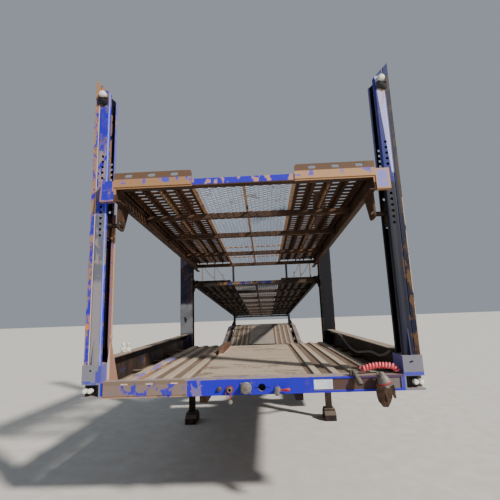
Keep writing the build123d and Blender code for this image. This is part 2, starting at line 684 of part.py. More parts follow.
def tyre_profile():
    """Half-section of one tyre, drawn in x and radius."""
    half = TYRE_WIDTH / 2
    bead = half - TYRE_SHOULDER
    return [
        (-bead, RIM_RADIUS), (bead, RIM_RADIUS), (half, RIM_RADIUS + 60), (half - 6, TYRE_RADIUS - 35),
        (bead, TYRE_RADIUS), (-bead, TYRE_RADIUS), (-half + 6, TYRE_RADIUS - 35), (-half, RIM_RADIUS + 60),
    ]


def twin_tyres(axle_y):
    """The two tyres of a right-hand wheel station."""
    return [turned(tyre_profile(), WHEEL_X + side * TWIN_PITCH / 2, axle_y, TYRE_RADIUS) for side in (-1, 1)]


def twin_rims(axle_y):
    """The two rims with hub and brake drum of a right-hand wheel station, with hand holes in their discs."""
    half = TYRE_WIDTH / 2 - TYRE_SHOULDER
    mid = TWIN_PITCH / 2
    outer = RIM_RADIUS - FIT
    bore = SPINDLE_RADIUS + PIN_CLEARANCE
    disc = RIM_DISC_RADIUS
    points = [
        (-mid - half, outer), (-mid - half, outer - 15), (-70, outer - 20), (-20, disc),
        (-20, disc - 50), (-HUB_INNER, 95), (-HUB_INNER, bore), (HUB_BORE_END, bore), (HUB_BORE_END, 0),
        (150, 0), (150, 60),
        (60, 95), (10, disc - 50), (10, disc), (70, outer - 20), (mid + half, outer - 15), (mid + half, outer),
        (mid - half, outer), (0, disc + 20), (half - mid, outer),
    ]
    body = turned(points, WHEEL_X, axle_y, TYRE_RADIUS)
    hole_radius = disc + 30
    for index in range(HAND_HOLES):
        angle = 2 * math.pi * index / HAND_HOLES
        y = axle_y + hole_radius * math.cos(angle)
        z = TYRE_RADIUS + hole_radius * math.sin(angle)
        body = body - rod_x(HAND_HOLE_RADIUS, WHEEL_X - 62, WHEEL_X + 62, y, z)
    return body


def mudguard():
    """Right-hand mudguard over both wheels: arcs joined by a straight top, on two stays."""
    radius = TYRE_RADIUS + MUDGUARD_GAP
    front, rear = AXLE_YS
    z = TYRE_RADIUS
    end, middle = math.radians(MUDGUARD_END_ANGLE), math.radians((MUDGUARD_END_ANGLE + 90) / 2)
    rows = []
    for r in (radius, radius + MUDGUARD_SHEET):
        near = [(front - r * math.cos(angle), z + r * math.sin(angle)) for angle in (end, middle)]
        far = [(rear + r * math.cos(angle), z + r * math.sin(angle)) for angle in (middle, end)]
        rows.append(near + [(front, z + r), (rear, z + r)] + far)
    low, high = rows
    edges = [
        ThreePointArc(low[0], low[1], low[2]), Line(low[2], low[3]), ThreePointArc(low[3], low[4], low[5]),
        Line(low[5], high[5]), ThreePointArc(high[5], high[4], high[3]), Line(high[3], high[2]),
        ThreePointArc(high[2], high[1], high[0]), Line(high[0], low[0]),
    ]
    plane = Plane((MUDGUARD_INNER_X, 0, 0), x_dir=(0, 1, 0), z_dir=(1, 0, 0))
    sheet_body = extrude(plane * make_face(edges), amount=MUDGUARD_OUTER_X - MUDGUARD_INNER_X)
    top = HUMP_TOP - BEAM_HUMP_DEPTH
    stays = [block((SILL_INNER_X + 20, SILL_INNER_X + 80), (y, y + 40), (z + radius + MUDGUARD_SHEET, top))
             for y in MUDGUARD_STAY_YS]
    return fuse([sheet_body] + stays)


def landing_leg():
    """Right-hand landing leg: square tube, foot tube, foot, bracket to the sill and a brace to the front."""
    half = LEG_TUBE / 2
    x0, x1 = LEG_X - half, LEG_X + half
    tube = block((x0, x1), (LEG_Y - half, LEG_Y + half), (LEG_TUBE_BOTTOM, LEG_TOP))
    small = half - LEG_STEP
    inner = block((LEG_X - small, LEG_X + small), (LEG_Y - small, LEG_Y + small),
                  (FOOT_HEIGHT + 20, LEG_TUBE_BOTTOM))
    flange = block((x0 - 20, x1 + 20), (LEG_Y - 95, LEG_Y + 95), (FOOT_HEIGHT, FOOT_HEIGHT + 20))
    foot_side = [
        (LEG_Y - 150, 0), (LEG_Y + 150, 0), (LEG_Y + 150, FOOT_HEIGHT - 50), (LEG_Y + 95, FOOT_HEIGHT),
        (LEG_Y - 95, FOOT_HEIGHT), (LEG_Y - 150, FOOT_HEIGHT - 50),
    ]
    foot = along_x(foot_side, x0 - 26, x1 + 26)
    sill_x = SILL_OUTER_X - 30
    bracket_side = [(x1, LEG_TOP - 260), (sill_x, SILL_BOTTOM - 60), (sill_x, SILL_BOTTOM), (x1, SILL_BOTTOM)]
    bracket = along_y(bracket_side, LEG_Y - half, LEG_Y + half)
    brace_side = [
        (LEG_Y - half, LEG_TUBE_BOTTOM + 140), (LEG_Y - half, LEG_TUBE_BOTTOM + 210),
        (BRACE_END_Y + 40, SILL_BOTTOM), (BRACE_END_Y, SILL_BOTTOM),
    ]
    brace = along_x(brace_side, LEG_X - 10, LEG_X + 10)
    return fuse([tube, inner, flange, foot, bracket, brace])


def landing_legs():
    """Both legs with the cross shaft that turns their gears together."""
    shaft_z = LEG_TOP - 180
    shaft_end = LEG_X - LEG_TUBE / 2
    shaft = rod_x(CROSS_SHAFT_RADIUS, -shaft_end, shaft_end, LEG_Y, shaft_z)
    return fuse([landing_leg(), shaft, other_side(landing_leg())])


def about_pin(shape, y, z, degrees):
    """Turns each solid of a deck about its pin so that its front end rises."""
    axis = Axis((0, y, z), (1, 0, 0))
    return group([solid.rotate(axis, -degrees) for solid in shape.solids()])


def pin_place(distance, offset_below, degrees):
    """Place along a deck, from its pin, of a carriage pin at a fixed distance while the deck slopes."""
    angle = math.radians(degrees)
    return (distance - offset_below * math.sin(angle)) / math.cos(angle)


def slot_reach(distance, offset_below, slopes):
    """Shortest and longest place of the carriage pin along a deck over a range of slopes."""
    steps = 40
    places = [pin_place(distance, offset_below, slopes[0] + (slopes[1] - slopes[0]) * step / steps)
              for step in range(steps + 1)]
    return min(places) - SLOT_CLEARANCE, max(places) + SLOT_CLEARANCE


def slot_x(y0, y1, z, x0, x1):
    """Long hole along x between two round ends at y0 and y1."""
    radius = PIN_RADIUS + SLOT_CLEARANCE
    middle = block((x0, x1), (y0, y1), (z - radius, z + radius))
    return fuse([middle, rod_x(radius, x0, x1, y0, z), rod_x(radius, x0, x1, y1, z)])


def rail_outline(top, height):
    """C-section of an upper deck's side rail, drawn in x and z."""
    bottom = top - height
    web = RAIL_OUTER_X - RAIL_WEB
    return [
        (RAIL_INNER_X, bottom), (RAIL_OUTER_X, bottom), (RAIL_OUTER_X, top), (RAIL_INNER_X, top),
        (RAIL_INNER_X, top - PLATE), (web, top - PLATE), (web, bottom + PLATE), (RAIL_INNER_X, bottom + PLATE),
    ]


def deck_rails(front, rear, top, height, cross):
    """Side rails and cross members of an upper deck, drawn level and fused."""
    rail = along_y(rail_outline(top, height), front, rear, [0, 10, 10, 0, 0, 0, 0, 0])
    parts = [rail, other_side(rail)]
    half = RAIL_OUTER_X - RAIL_WEB
    high = top - TRACK_DEPTH
    for y in cross:
        parts.append(block((-half, half), (y, y + CROSS_WIDTH), (high - CROSS_DEPTH, high)))
    return fuse(parts)


FRONT_PIN_DISTANCE = FRONT_DECK_PIN_Y - (FRONT_POST.front + FRONT_POST.depth / 2)
FRONT_PIN_OFFSET = (FRONT_PIN_DISTANCE * math.sin(math.radians(FRONT_DECK_SLOPE))
                    + (FRONT_DECK_PIN_Z - FRONT_BRACKET_PIN_Z) * math.cos(math.radians(FRONT_DECK_SLOPE)))
REAR_PIN_DISTANCE = REAR_POST.front + REAR_POST.depth / 2 - REAR_DECK_PIN_Y
REAR_CARRIAGE_Z = REAR_DECK_PIN_Z - REAR_PIN_DISTANCE * math.tan(math.radians(REAR_DECK_SLOPE))


def front_deck_frame():
    """Upper front deck: rails, cross members, front beam, slotted plates, end blocks and slotted hangers."""
    front, top = FRONT_DECK_FRONT_Y, FRONT_TOP
    frame = deck_rails(front + PLATE, FRONT_DECK_REAR_Y, top, FRONT_RAIL_HEIGHT, FRONT_CROSS)
    beam = block((-RAIL_OUTER_X, RAIL_OUTER_X), (front + PLATE, front + 70), (top - 70, top - UPPER_TRACK_DROP))
    plate = face_plate(UPPER_TRACK_X - 24, RAIL_OUTER_X, top + LIP_BOTTOM, top + LIP_TOP, PLATE,
                       front + PLATE, top + 24, 30)
    low, high = slot_reach(FRONT_PIN_DISTANCE, FRONT_PIN_OFFSET,
                           (FRONT_DECK_SLOPE - FRONT_DECK_LOWER, FRONT_DECK_SLOPE + FRONT_DECK_RAISE))
    slot_z = FRONT_DECK_PIN_Z - FRONT_PIN_OFFSET
    pin_y = FRONT_DECK_PIN_Y - high
    hanger_bottom = slot_z - 45
    rail_bottom = top - FRONT_RAIL_HEIGHT
    web = RAIL_OUTER_X - RAIL_WEB
    rear_y = FRONT_DECK_PIN_Y - low
    hanger_side = [
        (pin_y - 40, rail_bottom + PLATE), (pin_y - 40, hanger_bottom), (rear_y + 40, hanger_bottom),
        (rear_y + 130, rail_bottom + PLATE),
    ]
    hanger = along_x(hanger_side, web, RAIL_OUTER_X, [0, 30, 30, 0])
    hanger = hanger - slot_x(pin_y, rear_y, slot_z, RAIL_INNER_X, RAIL_OUTER_X + 1)
    body = fuse([frame, beam] + both_sides(plate) + both_sides(hanger))
    hole = rod_x(PIN_RADIUS + PIN_CLEARANCE, -HALF_WIDTH, HALF_WIDTH, FRONT_DECK_PIN_Y, FRONT_DECK_PIN_Z)
    return about_pin(body - hole, FRONT_DECK_PIN_Y, FRONT_DECK_PIN_Z, FRONT_DECK_SLOPE)


def front_deck_end_blocks():
    """Blocks at the front ends of the upper front deck's rails, reaching before the posts."""
    front, top = FRONT_DECK_FRONT_Y, FRONT_TOP
    end = block((RAIL_OUTER_X, END_BLOCK_X), (front, front + END_BLOCK_DEPTH), (top - FRONT_RAIL_HEIGHT, top))
    return about_pin(group(both_sides(end)), FRONT_DECK_PIN_Y, FRONT_DECK_PIN_Z, FRONT_DECK_SLOPE)


def slotted_track(front, rear, top, pitch):
    """Right-hand wheel track of an upper deck: folded sheet with four columns of slots and a middle rib."""
    x0, x1 = UPPER_TRACK_X, RAIL_INNER_X - 2
    z1 = top - UPPER_TRACK_DROP
    z0 = z1 - UPPER_TRACK_SHEET
    length, width = rear - front, x1 - x0
    rows = int((length - pitch) // pitch)
    spots = GridLocations(width / SLOT_COLUMNS, pitch, SLOT_COLUMNS, rows)
    sheet = Rectangle(width, length) - [spot * Rectangle(SLOT_LENGTH, SLOT_OPENING) for spot in spots]
    parts = [Pos((x0 + x1) / 2, (front + rear) / 2, z0) * extrude(sheet, amount=UPPER_TRACK_SHEET)]
    low = top - TRACK_DEPTH
    middle = (x0 + x1) / 2
    for edge in ((x0, x0 + UPPER_TRACK_SHEET), (middle - 6, middle + 6), (x1 - UPPER_TRACK_SHEET, x1)):
        parts.append(block(edge, (front, rear), (low, z0)))
    return fuse(parts)


def walkway(front, rear, top):
    """Open walkway between the tracks: a lattice of flat bars, drawn level."""
    high = top - TRACK_DEPTH + WALKWAY_DEPTH
    length, width = rear - front, 2 * WALKWAY_X
    rows = int((length - WALKWAY_BAR) // WALKWAY_PITCH)
    cell_x, cell_y = (width - WALKWAY_BAR) / WALKWAY_COLUMNS, (length - WALKWAY_BAR) / rows
    spots = GridLocations(cell_x, cell_y, WALKWAY_COLUMNS, rows)
    opening = Rectangle(cell_x - WALKWAY_BAR, cell_y - WALKWAY_BAR)
    sheet = Rectangle(width, length) - [spot * opening for spot in spots]
    return Pos(0, (front + rear) / 2, high - WALKWAY_DEPTH) * extrude(sheet, amount=WALKWAY_DEPTH)


def front_deck_tracks():
    """Slotted wheel tracks of the upper front deck."""
    track = slotted_track(FRONT_DECK_FRONT_Y + 72, FRONT_DECK_REAR_Y, FRONT_TOP, FRONT_SLOT_PITCH)
    return about_pin(group(both_sides(track)), FRONT_DECK_PIN_Y, FRONT_DECK_PIN_Z, FRONT_DECK_SLOPE)


def front_deck_mesh():
    """Walkway of the upper front deck."""
    shape = walkway(FRONT_DECK_FRONT_Y + 72, FRONT_DECK_REAR_Y, FRONT_TOP)
    return about_pin(shape, FRONT_DECK_PIN_Y, FRONT_DECK_PIN_Z, FRONT_DECK_SLOPE)


def rear_deck_frame():
    """Upper rear deck: rails and cross members, pinned behind the middle posts, slotted for the carriages."""
    pitch = (REAR_DECK_REAR_Y - REAR_DECK_FRONT_Y - CROSS_WIDTH) / (REAR_CROSS_COUNT - 1)
    cross = [REAR_DECK_FRONT_Y + step * pitch for step in range(REAR_CROSS_COUNT)]
    frame = deck_rails(REAR_DECK_FRONT_Y, REAR_DECK_REAR_Y, REAR_TOP, REAR_RAIL_HEIGHT, cross)
    hole = rod_x(PIN_RADIUS + PIN_CLEARANCE, -HALF_WIDTH, HALF_WIDTH, REAR_DECK_PIN_Y, REAR_DECK_PIN_Z)
    low, high = slot_reach(REAR_PIN_DISTANCE, 0,
                           (REAR_DECK_SLOPE + REAR_DECK_LOWER, REAR_DECK_SLOPE - REAR_DECK_RAISE))
    slot = slot_x(REAR_DECK_PIN_Y + low, REAR_DECK_PIN_Y + high, REAR_DECK_PIN_Z,
                  RAIL_INNER_X, RAIL_OUTER_X + 1)
    body = frame - hole - slot - other_side(slot)
    return about_pin(body, REAR_DECK_PIN_Y, REAR_DECK_PIN_Z, REAR_DECK_SLOPE)


def rear_deck_tracks():
    """Slotted wheel tracks of the upper rear deck."""
    track = slotted_track(REAR_DECK_FRONT_Y, REAR_DECK_REAR_Y, REAR_TOP, REAR_SLOT_PITCH)
    return about_pin(group(both_sides(track)), REAR_DECK_PIN_Y, REAR_DECK_PIN_Z, REAR_DECK_SLOPE)


def rear_deck_mesh():
    """Walkway of the upper rear deck."""
    shape = walkway(REAR_DECK_FRONT_Y, REAR_DECK_REAR_Y, REAR_TOP)
    return about_pin(shape, REAR_DECK_PIN_Y, REAR_DECK_PIN_Z, REAR_DECK_SLOPE)


def rear_deck_stanchions():
    """Rope stanchions on the rear deck's rails."""
    rail_x = (RAIL_INNER_X + RAIL_OUTER_X) / 2
    parts = []
    for y in STANCHION_YS:
        post = rod_z(STANCHION_RADIUS, REAR_TOP, REAR_TOP + STANCHION_HEIGHT, rail_x, y)
        foot = rod_z(STANCHION_RADIUS + 9, REAR_TOP, REAR_TOP + 14, rail_x, y)
        parts.extend(both_sides(post + foot))
    return about_pin(group(parts), REAR_DECK_PIN_Y, REAR_DECK_PIN_Z, REAR_DECK_SLOPE)


def carriage(post, pin_z, pin_end):
    """Sliding blocks of a pair of posts, each with two wear shoes on the post's web and its deck pin."""
    gap = POST_WALL + CARRIAGE_GAP
    front, back = post.front + gap, post.front + post.depth - gap
    low, high = pin_z - CARRIAGE_HEIGHT / 2, pin_z + CARRIAGE_HEIGHT / 2
    slider = block((post.inner + gap, post.outer - gap), (front, back), (low, high))
    middle = post.front + post.depth / 2
    half = post.depth / 4
    for z in (low, high - SHOE_HEIGHT):
        shoe = block((post.outer - gap - 1, post.outer - POST_WALL - FIT), (middle - half, middle + half),
                     (z, z + SHOE_HEIGHT))
        slider = slider + shoe
    pin = rod_x(PIN_RADIUS, pin_end, post.inner + gap + 5, middle, pin_z)
    return group(both_sides(slider + pin))


def front_lamps():
    """Marker lamps with their rubber holders on the front posts, and twin lamps in the corner boxes."""
    post_face = FRONT_POST.front
    lens = fitting([(0, 0), (29, 0), (29, 22), (22, 34), (0, 38)], MARKER_X, post_face, MARKER_Z)
    holder = block((MARKER_X - 43, MARKER_X + 40), (post_face - HOLDER_DEPTH, post_face),
                   (MARKER_Z - 92, MARKER_Z - 32))
    parts = both_sides(lens) + both_sides(holder)
    recess_face = BEAM_FACE_Y + LAMP_RECESS
    for x in CORNER_LAMP_XS:
        lamp = fitting([(0, 0), (19, 0), (19, 50), (14, 60), (0, 63)], x, recess_face, CORNER_LAMP_Z)
        parts.extend(both_sides(lamp))
    return group(parts)


def tail_lamps():
    """Tail lamp clusters on the rear beam."""
    top = HUMP_TOP - 25
    low = top - TAIL_LAMP_HEIGHT
    section = [(TAIL_REAR_Y, low), (HALF_LENGTH, low), (HALF_LENGTH, top), (TAIL_REAR_Y, top)]
    lamp = along_x(section, TAIL_LAMP_INNER_X, TAIL_LAMP_OUTER_X, [0, 8, 8, 0])
    return group(both_sides(lamp))


# Turned fittings on the front beam, each with its section as points of radius and reach
Fitting = namedtuple("Fitting", "x z section")
BOSS = [(0, 0), (16, 0), (16, 12), (10, 22), (0, 22)]
OPEN_SOCKET = [(0, 0), (24, 0), (24, 10), (18, 10), (18, 34), (12, 34), (12, 20), (0, 20)]
CAPPED_SOCKET = [(0, 0), (43, 0), (43, 10), (37, 14), (37, 40), (28, 50), (0, 54)]
TAP = [(0, 0), (22, 0), (22, 8), (14, 12), (14, 30), (19, 34), (19, 48), (0, 52)]
PIPE_COUPLING = [
    (0, 0), (26, 0), (26, 10), (16, 14), (16, 60), (26, 64), (26, 84), (14, 84), (14, 70), (0, 70),
]
FITTINGS = (
    Fitting(-229, 1064, BOSS),
    Fitting(-151, 1059, OPEN_SOCKET),
    Fitting(-33, 1066, CAPPED_SOCKET),
    Fitting(202, 1053, TAP),
    Fitting(HALF_WIDTH - 497, 1086, PIPE_COUPLING),
)
HANDLE_LENGTH = 90


def couplings():
    """Turned sockets, tap and coupling on the front beam's face, and the tap's handle."""
    parts = []
    for item in FITTINGS:
        face = BEAM_FACE_Y
        if item.x > FACE_INNER_X:
            face = BEAM_FACE_Y + PLATE
        body = fitting(item.section, item.x, face, item.z)
        if item.section is TAP:
            near, far = item.x + 12, item.x + HANDLE_LENGTH
            grip = [(near, item.z - 7), (far, item.z - 11), (far, item.z + 9), (near, item.z + 7)]
            body = body + along_y(grip, face - 46, face - 38, [0, 6, 6, 0])
        parts.append(body)
    return group(parts)


# Coupling that hangs before the front beam, and its flaps
HANGING_X = HALF_WIDTH - 313
HANGING_RADIUS = 56
HANGING_Y = HANGING_RADIUS - HALF_LENGTH
HANGING_RIM_Z = 1092
Flap = namedtuple("Flap", "shift low width")
FLAPS = (Flap(-30, 914, 58), Flap(34, 960, 44))


def hanging_coupling():
    """Coupling that hangs from a cone bracket at the right of the front beam, with two flaps below its ring."""
    x, y, rim = HANGING_X, HANGING_Y, HANGING_RIM_Z
    section = [(0, rim + 78), (22, rim + 78), (30, rim + 58), (52, rim), (0, rim)]
    cone = Pos(x, y, 0) * revolve(Plane.XZ * outline(section), axis=Axis.Z)
    ring = Pos(x, y, rim - 6) * Cylinder(HANGING_RADIUS, 12)
    stem = block((x - 20, x + 20), (y, BEAM_FACE_Y + PLATE), (rim + 2, rim + 20))
    body = fuse([cone, ring, stem])
    for flap in FLAPS:
        middle, half = x + flap.shift, flap.width / 2
        shape = [
            (middle - half, rim - 10), (middle + half, rim - 10), (middle + half * 2 / 3, flap.low + 40),
            (middle, flap.low), (middle - half * 2 / 3, flap.low + 40),
        ]
        body = body + along_y(shape, y - 22, y + 10, [0, 0, 12, 12, 12])
    return body


# Coiled air hose and the pipes behind the left front post
COIL_START_X = HALF_WIDTH - 455
COIL_END_X = HALF_WIDTH - 175
COIL_FOOT = 24.3
COIL_RISE = 36
COIL_RADIUS = 26
PIPE_XS = [edge - HALF_WIDTH for edge in (125, 103, 81)]
PIPE_RADIUS = 8.5
PIPE_TOP = 2500
PIPE_CLAMP_Z = 1440


def air_hose_coil():
    """Coiled air hose over the front beam, as the tube that its turns fill."""
    y = BEAM_FACE_Y + BEAM_DEPTH / 2
    foot = NECK_TOP + COIL_FOOT
    crown = foot + COIL_RISE
    bend = 80
    places = [(COIL_START_X, y, foot), (COIL_START_X + bend, y, crown), (COIL_END_X - bend, y, crown),
              (COIL_END_X, y, foot)]
    route = FilletPolyline(*places, radius=[100, 100])
    start = Plane(origin=route @ 0, z_dir=route % 0)
    return sweep(start * Circle(COIL_RADIUS), path=route)


def post_pipes():
    """Three pipes behind the left front post with their clamp."""
    y = FRONT_POST.front + FRONT_POST.depth + 14
    pipes = [rod_z(PIPE_RADIUS, SILL_TOP, PIPE_TOP, x, y) for x in PIPE_XS]
    clamp = block((min(PIPE_XS) - 12, max(PIPE_XS) + 12), (y - 14, y + 12), (PIPE_CLAMP_Z, PIPE_CLAMP_Z + 30))
    return fuse(pipes + [clamp])


def main():
    """Builds every node and writes it to its own file."""
    os.makedirs("parts", exist_ok=True)
    nodes = {
        "front_beam": front_beam(),
        "neck_frame": neck_frame(),
        "kingpin_plate": kingpin_plate(),
        "neck_tracks": folded_tracks(NECK_TRACK_X, NECK_LINE),
        "neck_centre_plate": neck_centre_plate(),
        "well_tracks": folded_tracks(TRACK_INNER_X, WELL_LINE),
        "well_crossmembers": well_crossmembers(),
        "axle_ramp": folded_tracks(TRACK_INNER_X, HUMP_LINE),
        "hump_centre_plate": hump_centre_plate(),
        "axle_frame": axle_frame(),
        "loading_ramps": loading_ramps(),
        "rear_beam": rear_beam(),
        "suspension": suspension(),
        "axles": group([axle(y) for y in AXLE_YS]),
        "mudguards": group(both_sides(mudguard())),
        "landing_legs": landing_legs(),
        "front_lamps": front_lamps(),
        "tail_lamps": tail_lamps(),
        "couplings": couplings(),
        "hanging_coupling": hanging_coupling(),
        "air_hose_coil": air_hose_coil(),
        "post_pipes": post_pipes(),
        "front_deck_frame": front_deck_frame(),
        "front_deck_end_blocks": front_deck_end_blocks(),
        "front_deck_tracks": front_deck_tracks(),
        "front_deck_mesh": front_deck_mesh(),
        "front_deck_rear_carriage": carriage(MID_POST, FRONT_DECK_PIN_Z, RAIL_INNER_X + 20),
        "front_deck_front_carriage": carriage(FRONT_POST, FRONT_BRACKET_PIN_Z, RAIL_INNER_X + 28),
        "rear_deck_frame": rear_deck_frame(),
        "rear_deck_tracks": rear_deck_tracks(),
        "rear_deck_mesh": rear_deck_mesh(),
        "rear_deck_stanchions": rear_deck_stanchions(),
        "rear_deck_rear_carriage": carriage(REAR_POST, REAR_CARRIAGE_Z, RAIL_INNER_X + 20),
    }
    right_hand = {
        "front_post": front_post(), "mid_post": mid_post(), "rear_post": rear_post(), "main_beam": main_beam(),
    }
    for name, shape in right_hand.items():
        nodes[f"{name}_right"] = shape
        nodes[f"{name}_left"] = other_side(shape)
    for place, axle_y in zip(("front", "rear"), AXLE_YS):
        tyres, rims = group(twin_tyres(axle_y)), twin_rims(axle_y)
        nodes[f"tyres_{place}_right"] = tyres
        nodes[f"tyres_{place}_left"] = other_side(tyres)
        nodes[f"rims_{place}_right"] = rims
        nodes[f"rims_{place}_left"] = other_side(rims)
    for name, shape in nodes.items():
        export_step(shape, f"parts/{name}.step")


if __name__ == "__main__":
    main()
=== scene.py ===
import logging
import math
from dataclasses import dataclass, field
from enum import Enum
from typing import Callable, Iterable, Sequence

import bmesh
import bpy
from mathutils import Matrix, Vector


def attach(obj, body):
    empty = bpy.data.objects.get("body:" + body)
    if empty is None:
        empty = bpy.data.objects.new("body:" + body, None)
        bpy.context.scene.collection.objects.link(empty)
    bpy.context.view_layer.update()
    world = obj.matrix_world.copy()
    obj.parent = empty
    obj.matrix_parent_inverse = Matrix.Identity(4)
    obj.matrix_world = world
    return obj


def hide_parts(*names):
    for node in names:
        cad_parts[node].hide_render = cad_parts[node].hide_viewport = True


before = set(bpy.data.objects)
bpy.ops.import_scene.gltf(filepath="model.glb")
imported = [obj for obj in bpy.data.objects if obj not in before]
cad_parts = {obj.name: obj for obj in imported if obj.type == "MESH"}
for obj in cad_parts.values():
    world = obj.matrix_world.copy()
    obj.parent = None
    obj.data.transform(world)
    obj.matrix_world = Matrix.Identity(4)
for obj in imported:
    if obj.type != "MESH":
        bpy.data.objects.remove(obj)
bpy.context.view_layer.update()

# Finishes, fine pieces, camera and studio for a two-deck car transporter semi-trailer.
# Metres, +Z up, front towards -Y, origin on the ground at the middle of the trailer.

LOG = logging.getLogger("transporter")

Colour = tuple[float, float, float]
Point = tuple[float, float, float]
Span = tuple[float, float]
Outline = Sequence[Span]

EVEN: Point = (1.0, 1.0, 1.0)
AHEAD: Point = (0.0, -1.0, 0.0)
TINY, LEAST = 1e-6, 1e-9

# Noise: how it is moved by a seed, how rough it is, and the range that is spread to 0 to 1.
SEED_SHIFT: Point = (1.0, 0.7, 1.3)
NOISE_ROUGHNESS = 0.6
NOISE_LOW, NOISE_GAIN = 0.28, 2.3


# ---------------------------------------------------------------- shader maths
class Axis(Enum):
    """Coordinate of the object that a zone or stripe is measured along."""

    X = "x"
    Y = "y"
    Z = "z"
    ABS_X = "abs_x"


class Wire:
    """A shader socket whose arithmetic adds Math nodes to its tree."""

    def __init__(self, recipe: "Recipe", socket: bpy.types.NodeSocket) -> None:
        """Keeps the tree and the socket.

        Args:
            recipe: The material under construction.
            socket: The output socket that carries the value.
        """
        self.recipe = recipe
        self.socket = socket

    def math(self, operation: str, *others: "Wire | float", clamp: bool = False) -> "Wire":
        """Joins this value and others in one Math node.

        Args:
            operation: Name of the Math node's operation.
            others: Further inputs, in order.
            clamp: Whether the result is held between 0 and 1.

        Returns:
            The result's wire.
        """
        values = {index: value for index, value in enumerate((self, *others))}
        return self.recipe.node("ShaderNodeMath", {"operation": operation, "use_clamp": clamp}, values)

    def __add__(self, other: "Wire | float") -> "Wire":
        """Sum."""
        return self.math("ADD", other)

    __radd__ = __add__

    def __mul__(self, other: "Wire | float") -> "Wire":
        """Product."""
        return self.math("MULTIPLY", other)

    __rmul__ = __mul__

    def __sub__(self, other: "Wire | float") -> "Wire":
        """Difference."""
        return self.math("SUBTRACT", other)

    def __rsub__(self, other: float) -> "Wire":
        """Difference from a number."""
        return self.math("MULTIPLY", -1.0) + other

    def __truediv__(self, other: "Wire | float") -> "Wire":
        """Quotient."""
        return self.math("DIVIDE", other)

    def held(self) -> "Wire":
        """The value held between 0 and 1."""
        return self.math("ADD", 0.0, clamp=True)

    def absolute(self) -> "Wire":
        """The value without its sign."""
        return self.math("ABSOLUTE")

    def above(self, edge: "Wire | float", soft: float) -> "Wire":
        """Soft step that rises from 0 to 1 round an edge.

        Args:
            edge: Value at the middle of the step.
            soft: Half the width of the step.

        Returns:
            The step's wire.
        """
        return ((self - edge) / (2 * soft) + 0.5).held()

    def between(self, low: float, high: float, soft: float) -> "Wire":
        """Soft band that is 1 between two values."""
        return self.above(low, soft) * (1 - self.above(high, soft))


class Recipe:
    """A material whose nodes are made through one method."""

    def __init__(self, name: str) -> None:
        """Starts an empty material.

        Args:
            name: The material's name.
        """
        self.material = bpy.data.materials.new(name)
        self.material.use_nodes = True
        self.tree = self.material.node_tree
        self.tree.nodes.clear()
        self.place = self.node("ShaderNodeTexCoord", {}, {}, "Object")
        split = self.node("ShaderNodeSeparateXYZ", {}, {0: self.place})
        outputs = split.socket.node.outputs
        self.axes = {axis: Wire(self, outputs[index]) for index, axis in enumerate((Axis.X, Axis.Y, Axis.Z))}
        self.axes[Axis.ABS_X] = self.axes[Axis.X].absolute()

    def node(self, kind: str, settings: dict, inputs: dict, output: str | int = 0) -> Wire:
        """Adds one node.

        Args:
            kind: The node's type.
            settings: Attributes set first.
            inputs: Values or wires by socket name or place.
            output: Name or place of the output that is wanted.

        Returns:
            The wanted output's wire.
        """
        made = self.tree.nodes.new(kind)
        for key, value in settings.items():
            setattr(made, key, value)
        for key, value in inputs.items():
            socket = made.inputs[key]
            if isinstance(value, Wire):
                self.tree.links.new(value.socket, socket)
            elif isinstance(value, tuple) and len(value) == 3 and socket.type == "RGBA":
                socket.default_value = (*value, 1.0)
            else:
                socket.default_value = value
        return Wire(self, made.outputs[output])

    def mix(self, factor: Wire | float, first: Wire | Colour, second: Wire | Colour) -> Wire:
        """Blend of two colours.

        Args:
            factor: Share of the second colour.
            first: Colour at 0.
            second: Colour at 1.

        Returns:
            The blended colour.
        """
        return self.node("ShaderNodeMix", {"data_type": "RGBA"}, {0: factor, 6: first, 7: second}, 2)

    def noise(self, scale: float, detail: float = 4.0, stretch: Point = EVEN, seed: float = 0.0) -> Wire:
        """Noise over the object, spread to fill 0 to 1.

        Args:
            scale: Cells a metre.
            detail: Octaves.
            stretch: Factors on the three coordinates.
            seed: Shift of the pattern.

        Returns:
            The noise's wire.
        """
        shift = tuple(seed * factor for factor in SEED_SHIFT)
        moved = self.node("ShaderNodeMapping", {},
                          {"Vector": self.place, "Scale": stretch, "Location": shift})
        raw = self.node("ShaderNodeTexNoise", {}, {
            "Vector": moved, "Scale": scale, "Detail": detail, "Roughness": NOISE_ROUGHNESS})
        return ((raw - NOISE_LOW) * NOISE_GAIN).held()

    def facing_up(self) -> Wire:
        """Share by which a surface faces upwards.

        Returns:
            1 on a level top, 0 on walls and undersides.
        """
        normal = self.node("ShaderNodeNewGeometry", {}, {}, "Normal")
        split = self.node("ShaderNodeSeparateXYZ", {}, {0: normal})
        return Wire(self, split.socket.node.outputs[2]).held()

    def bump(self, height: Wire, strength: float, distance: float) -> Wire:
        """Normal bent by a height."""
        return self.node("ShaderNodeBump", {}, {"Strength": strength, "Distance": distance, "Height": height})

    def close(self, colour: Wire | Colour, roughness: Wire | float, metallic: Wire | float,
              normal: Wire | None,
              **plain: float) -> bpy.types.Material:
        """Adds the shader and the output.

        Args:
            colour: Base colour.
            roughness: Roughness.
            metallic: Metallic share.
            normal: Bent normal, if any.
            plain: Further sockets, by name with underscores for spaces.

        Returns:
            The finished material.
        """
        values = {"Base Color": colour, "Roughness": roughness, "Metallic": metallic}
        if normal is not None:
            values["Normal"] = normal
        values.update({key.replace("_", " "): value for key, value in plain.items()})
        shader = self.node("ShaderNodeBsdfPrincipled", {}, values)
        self.node_output(shader)
        return self.material

    def node_output(self, shader: Wire) -> None:
        """Joins a shader to the material's output."""
        end = self.tree.nodes.new("ShaderNodeOutputMaterial")
        self.tree.links.new(shader.socket, end.inputs["Surface"])


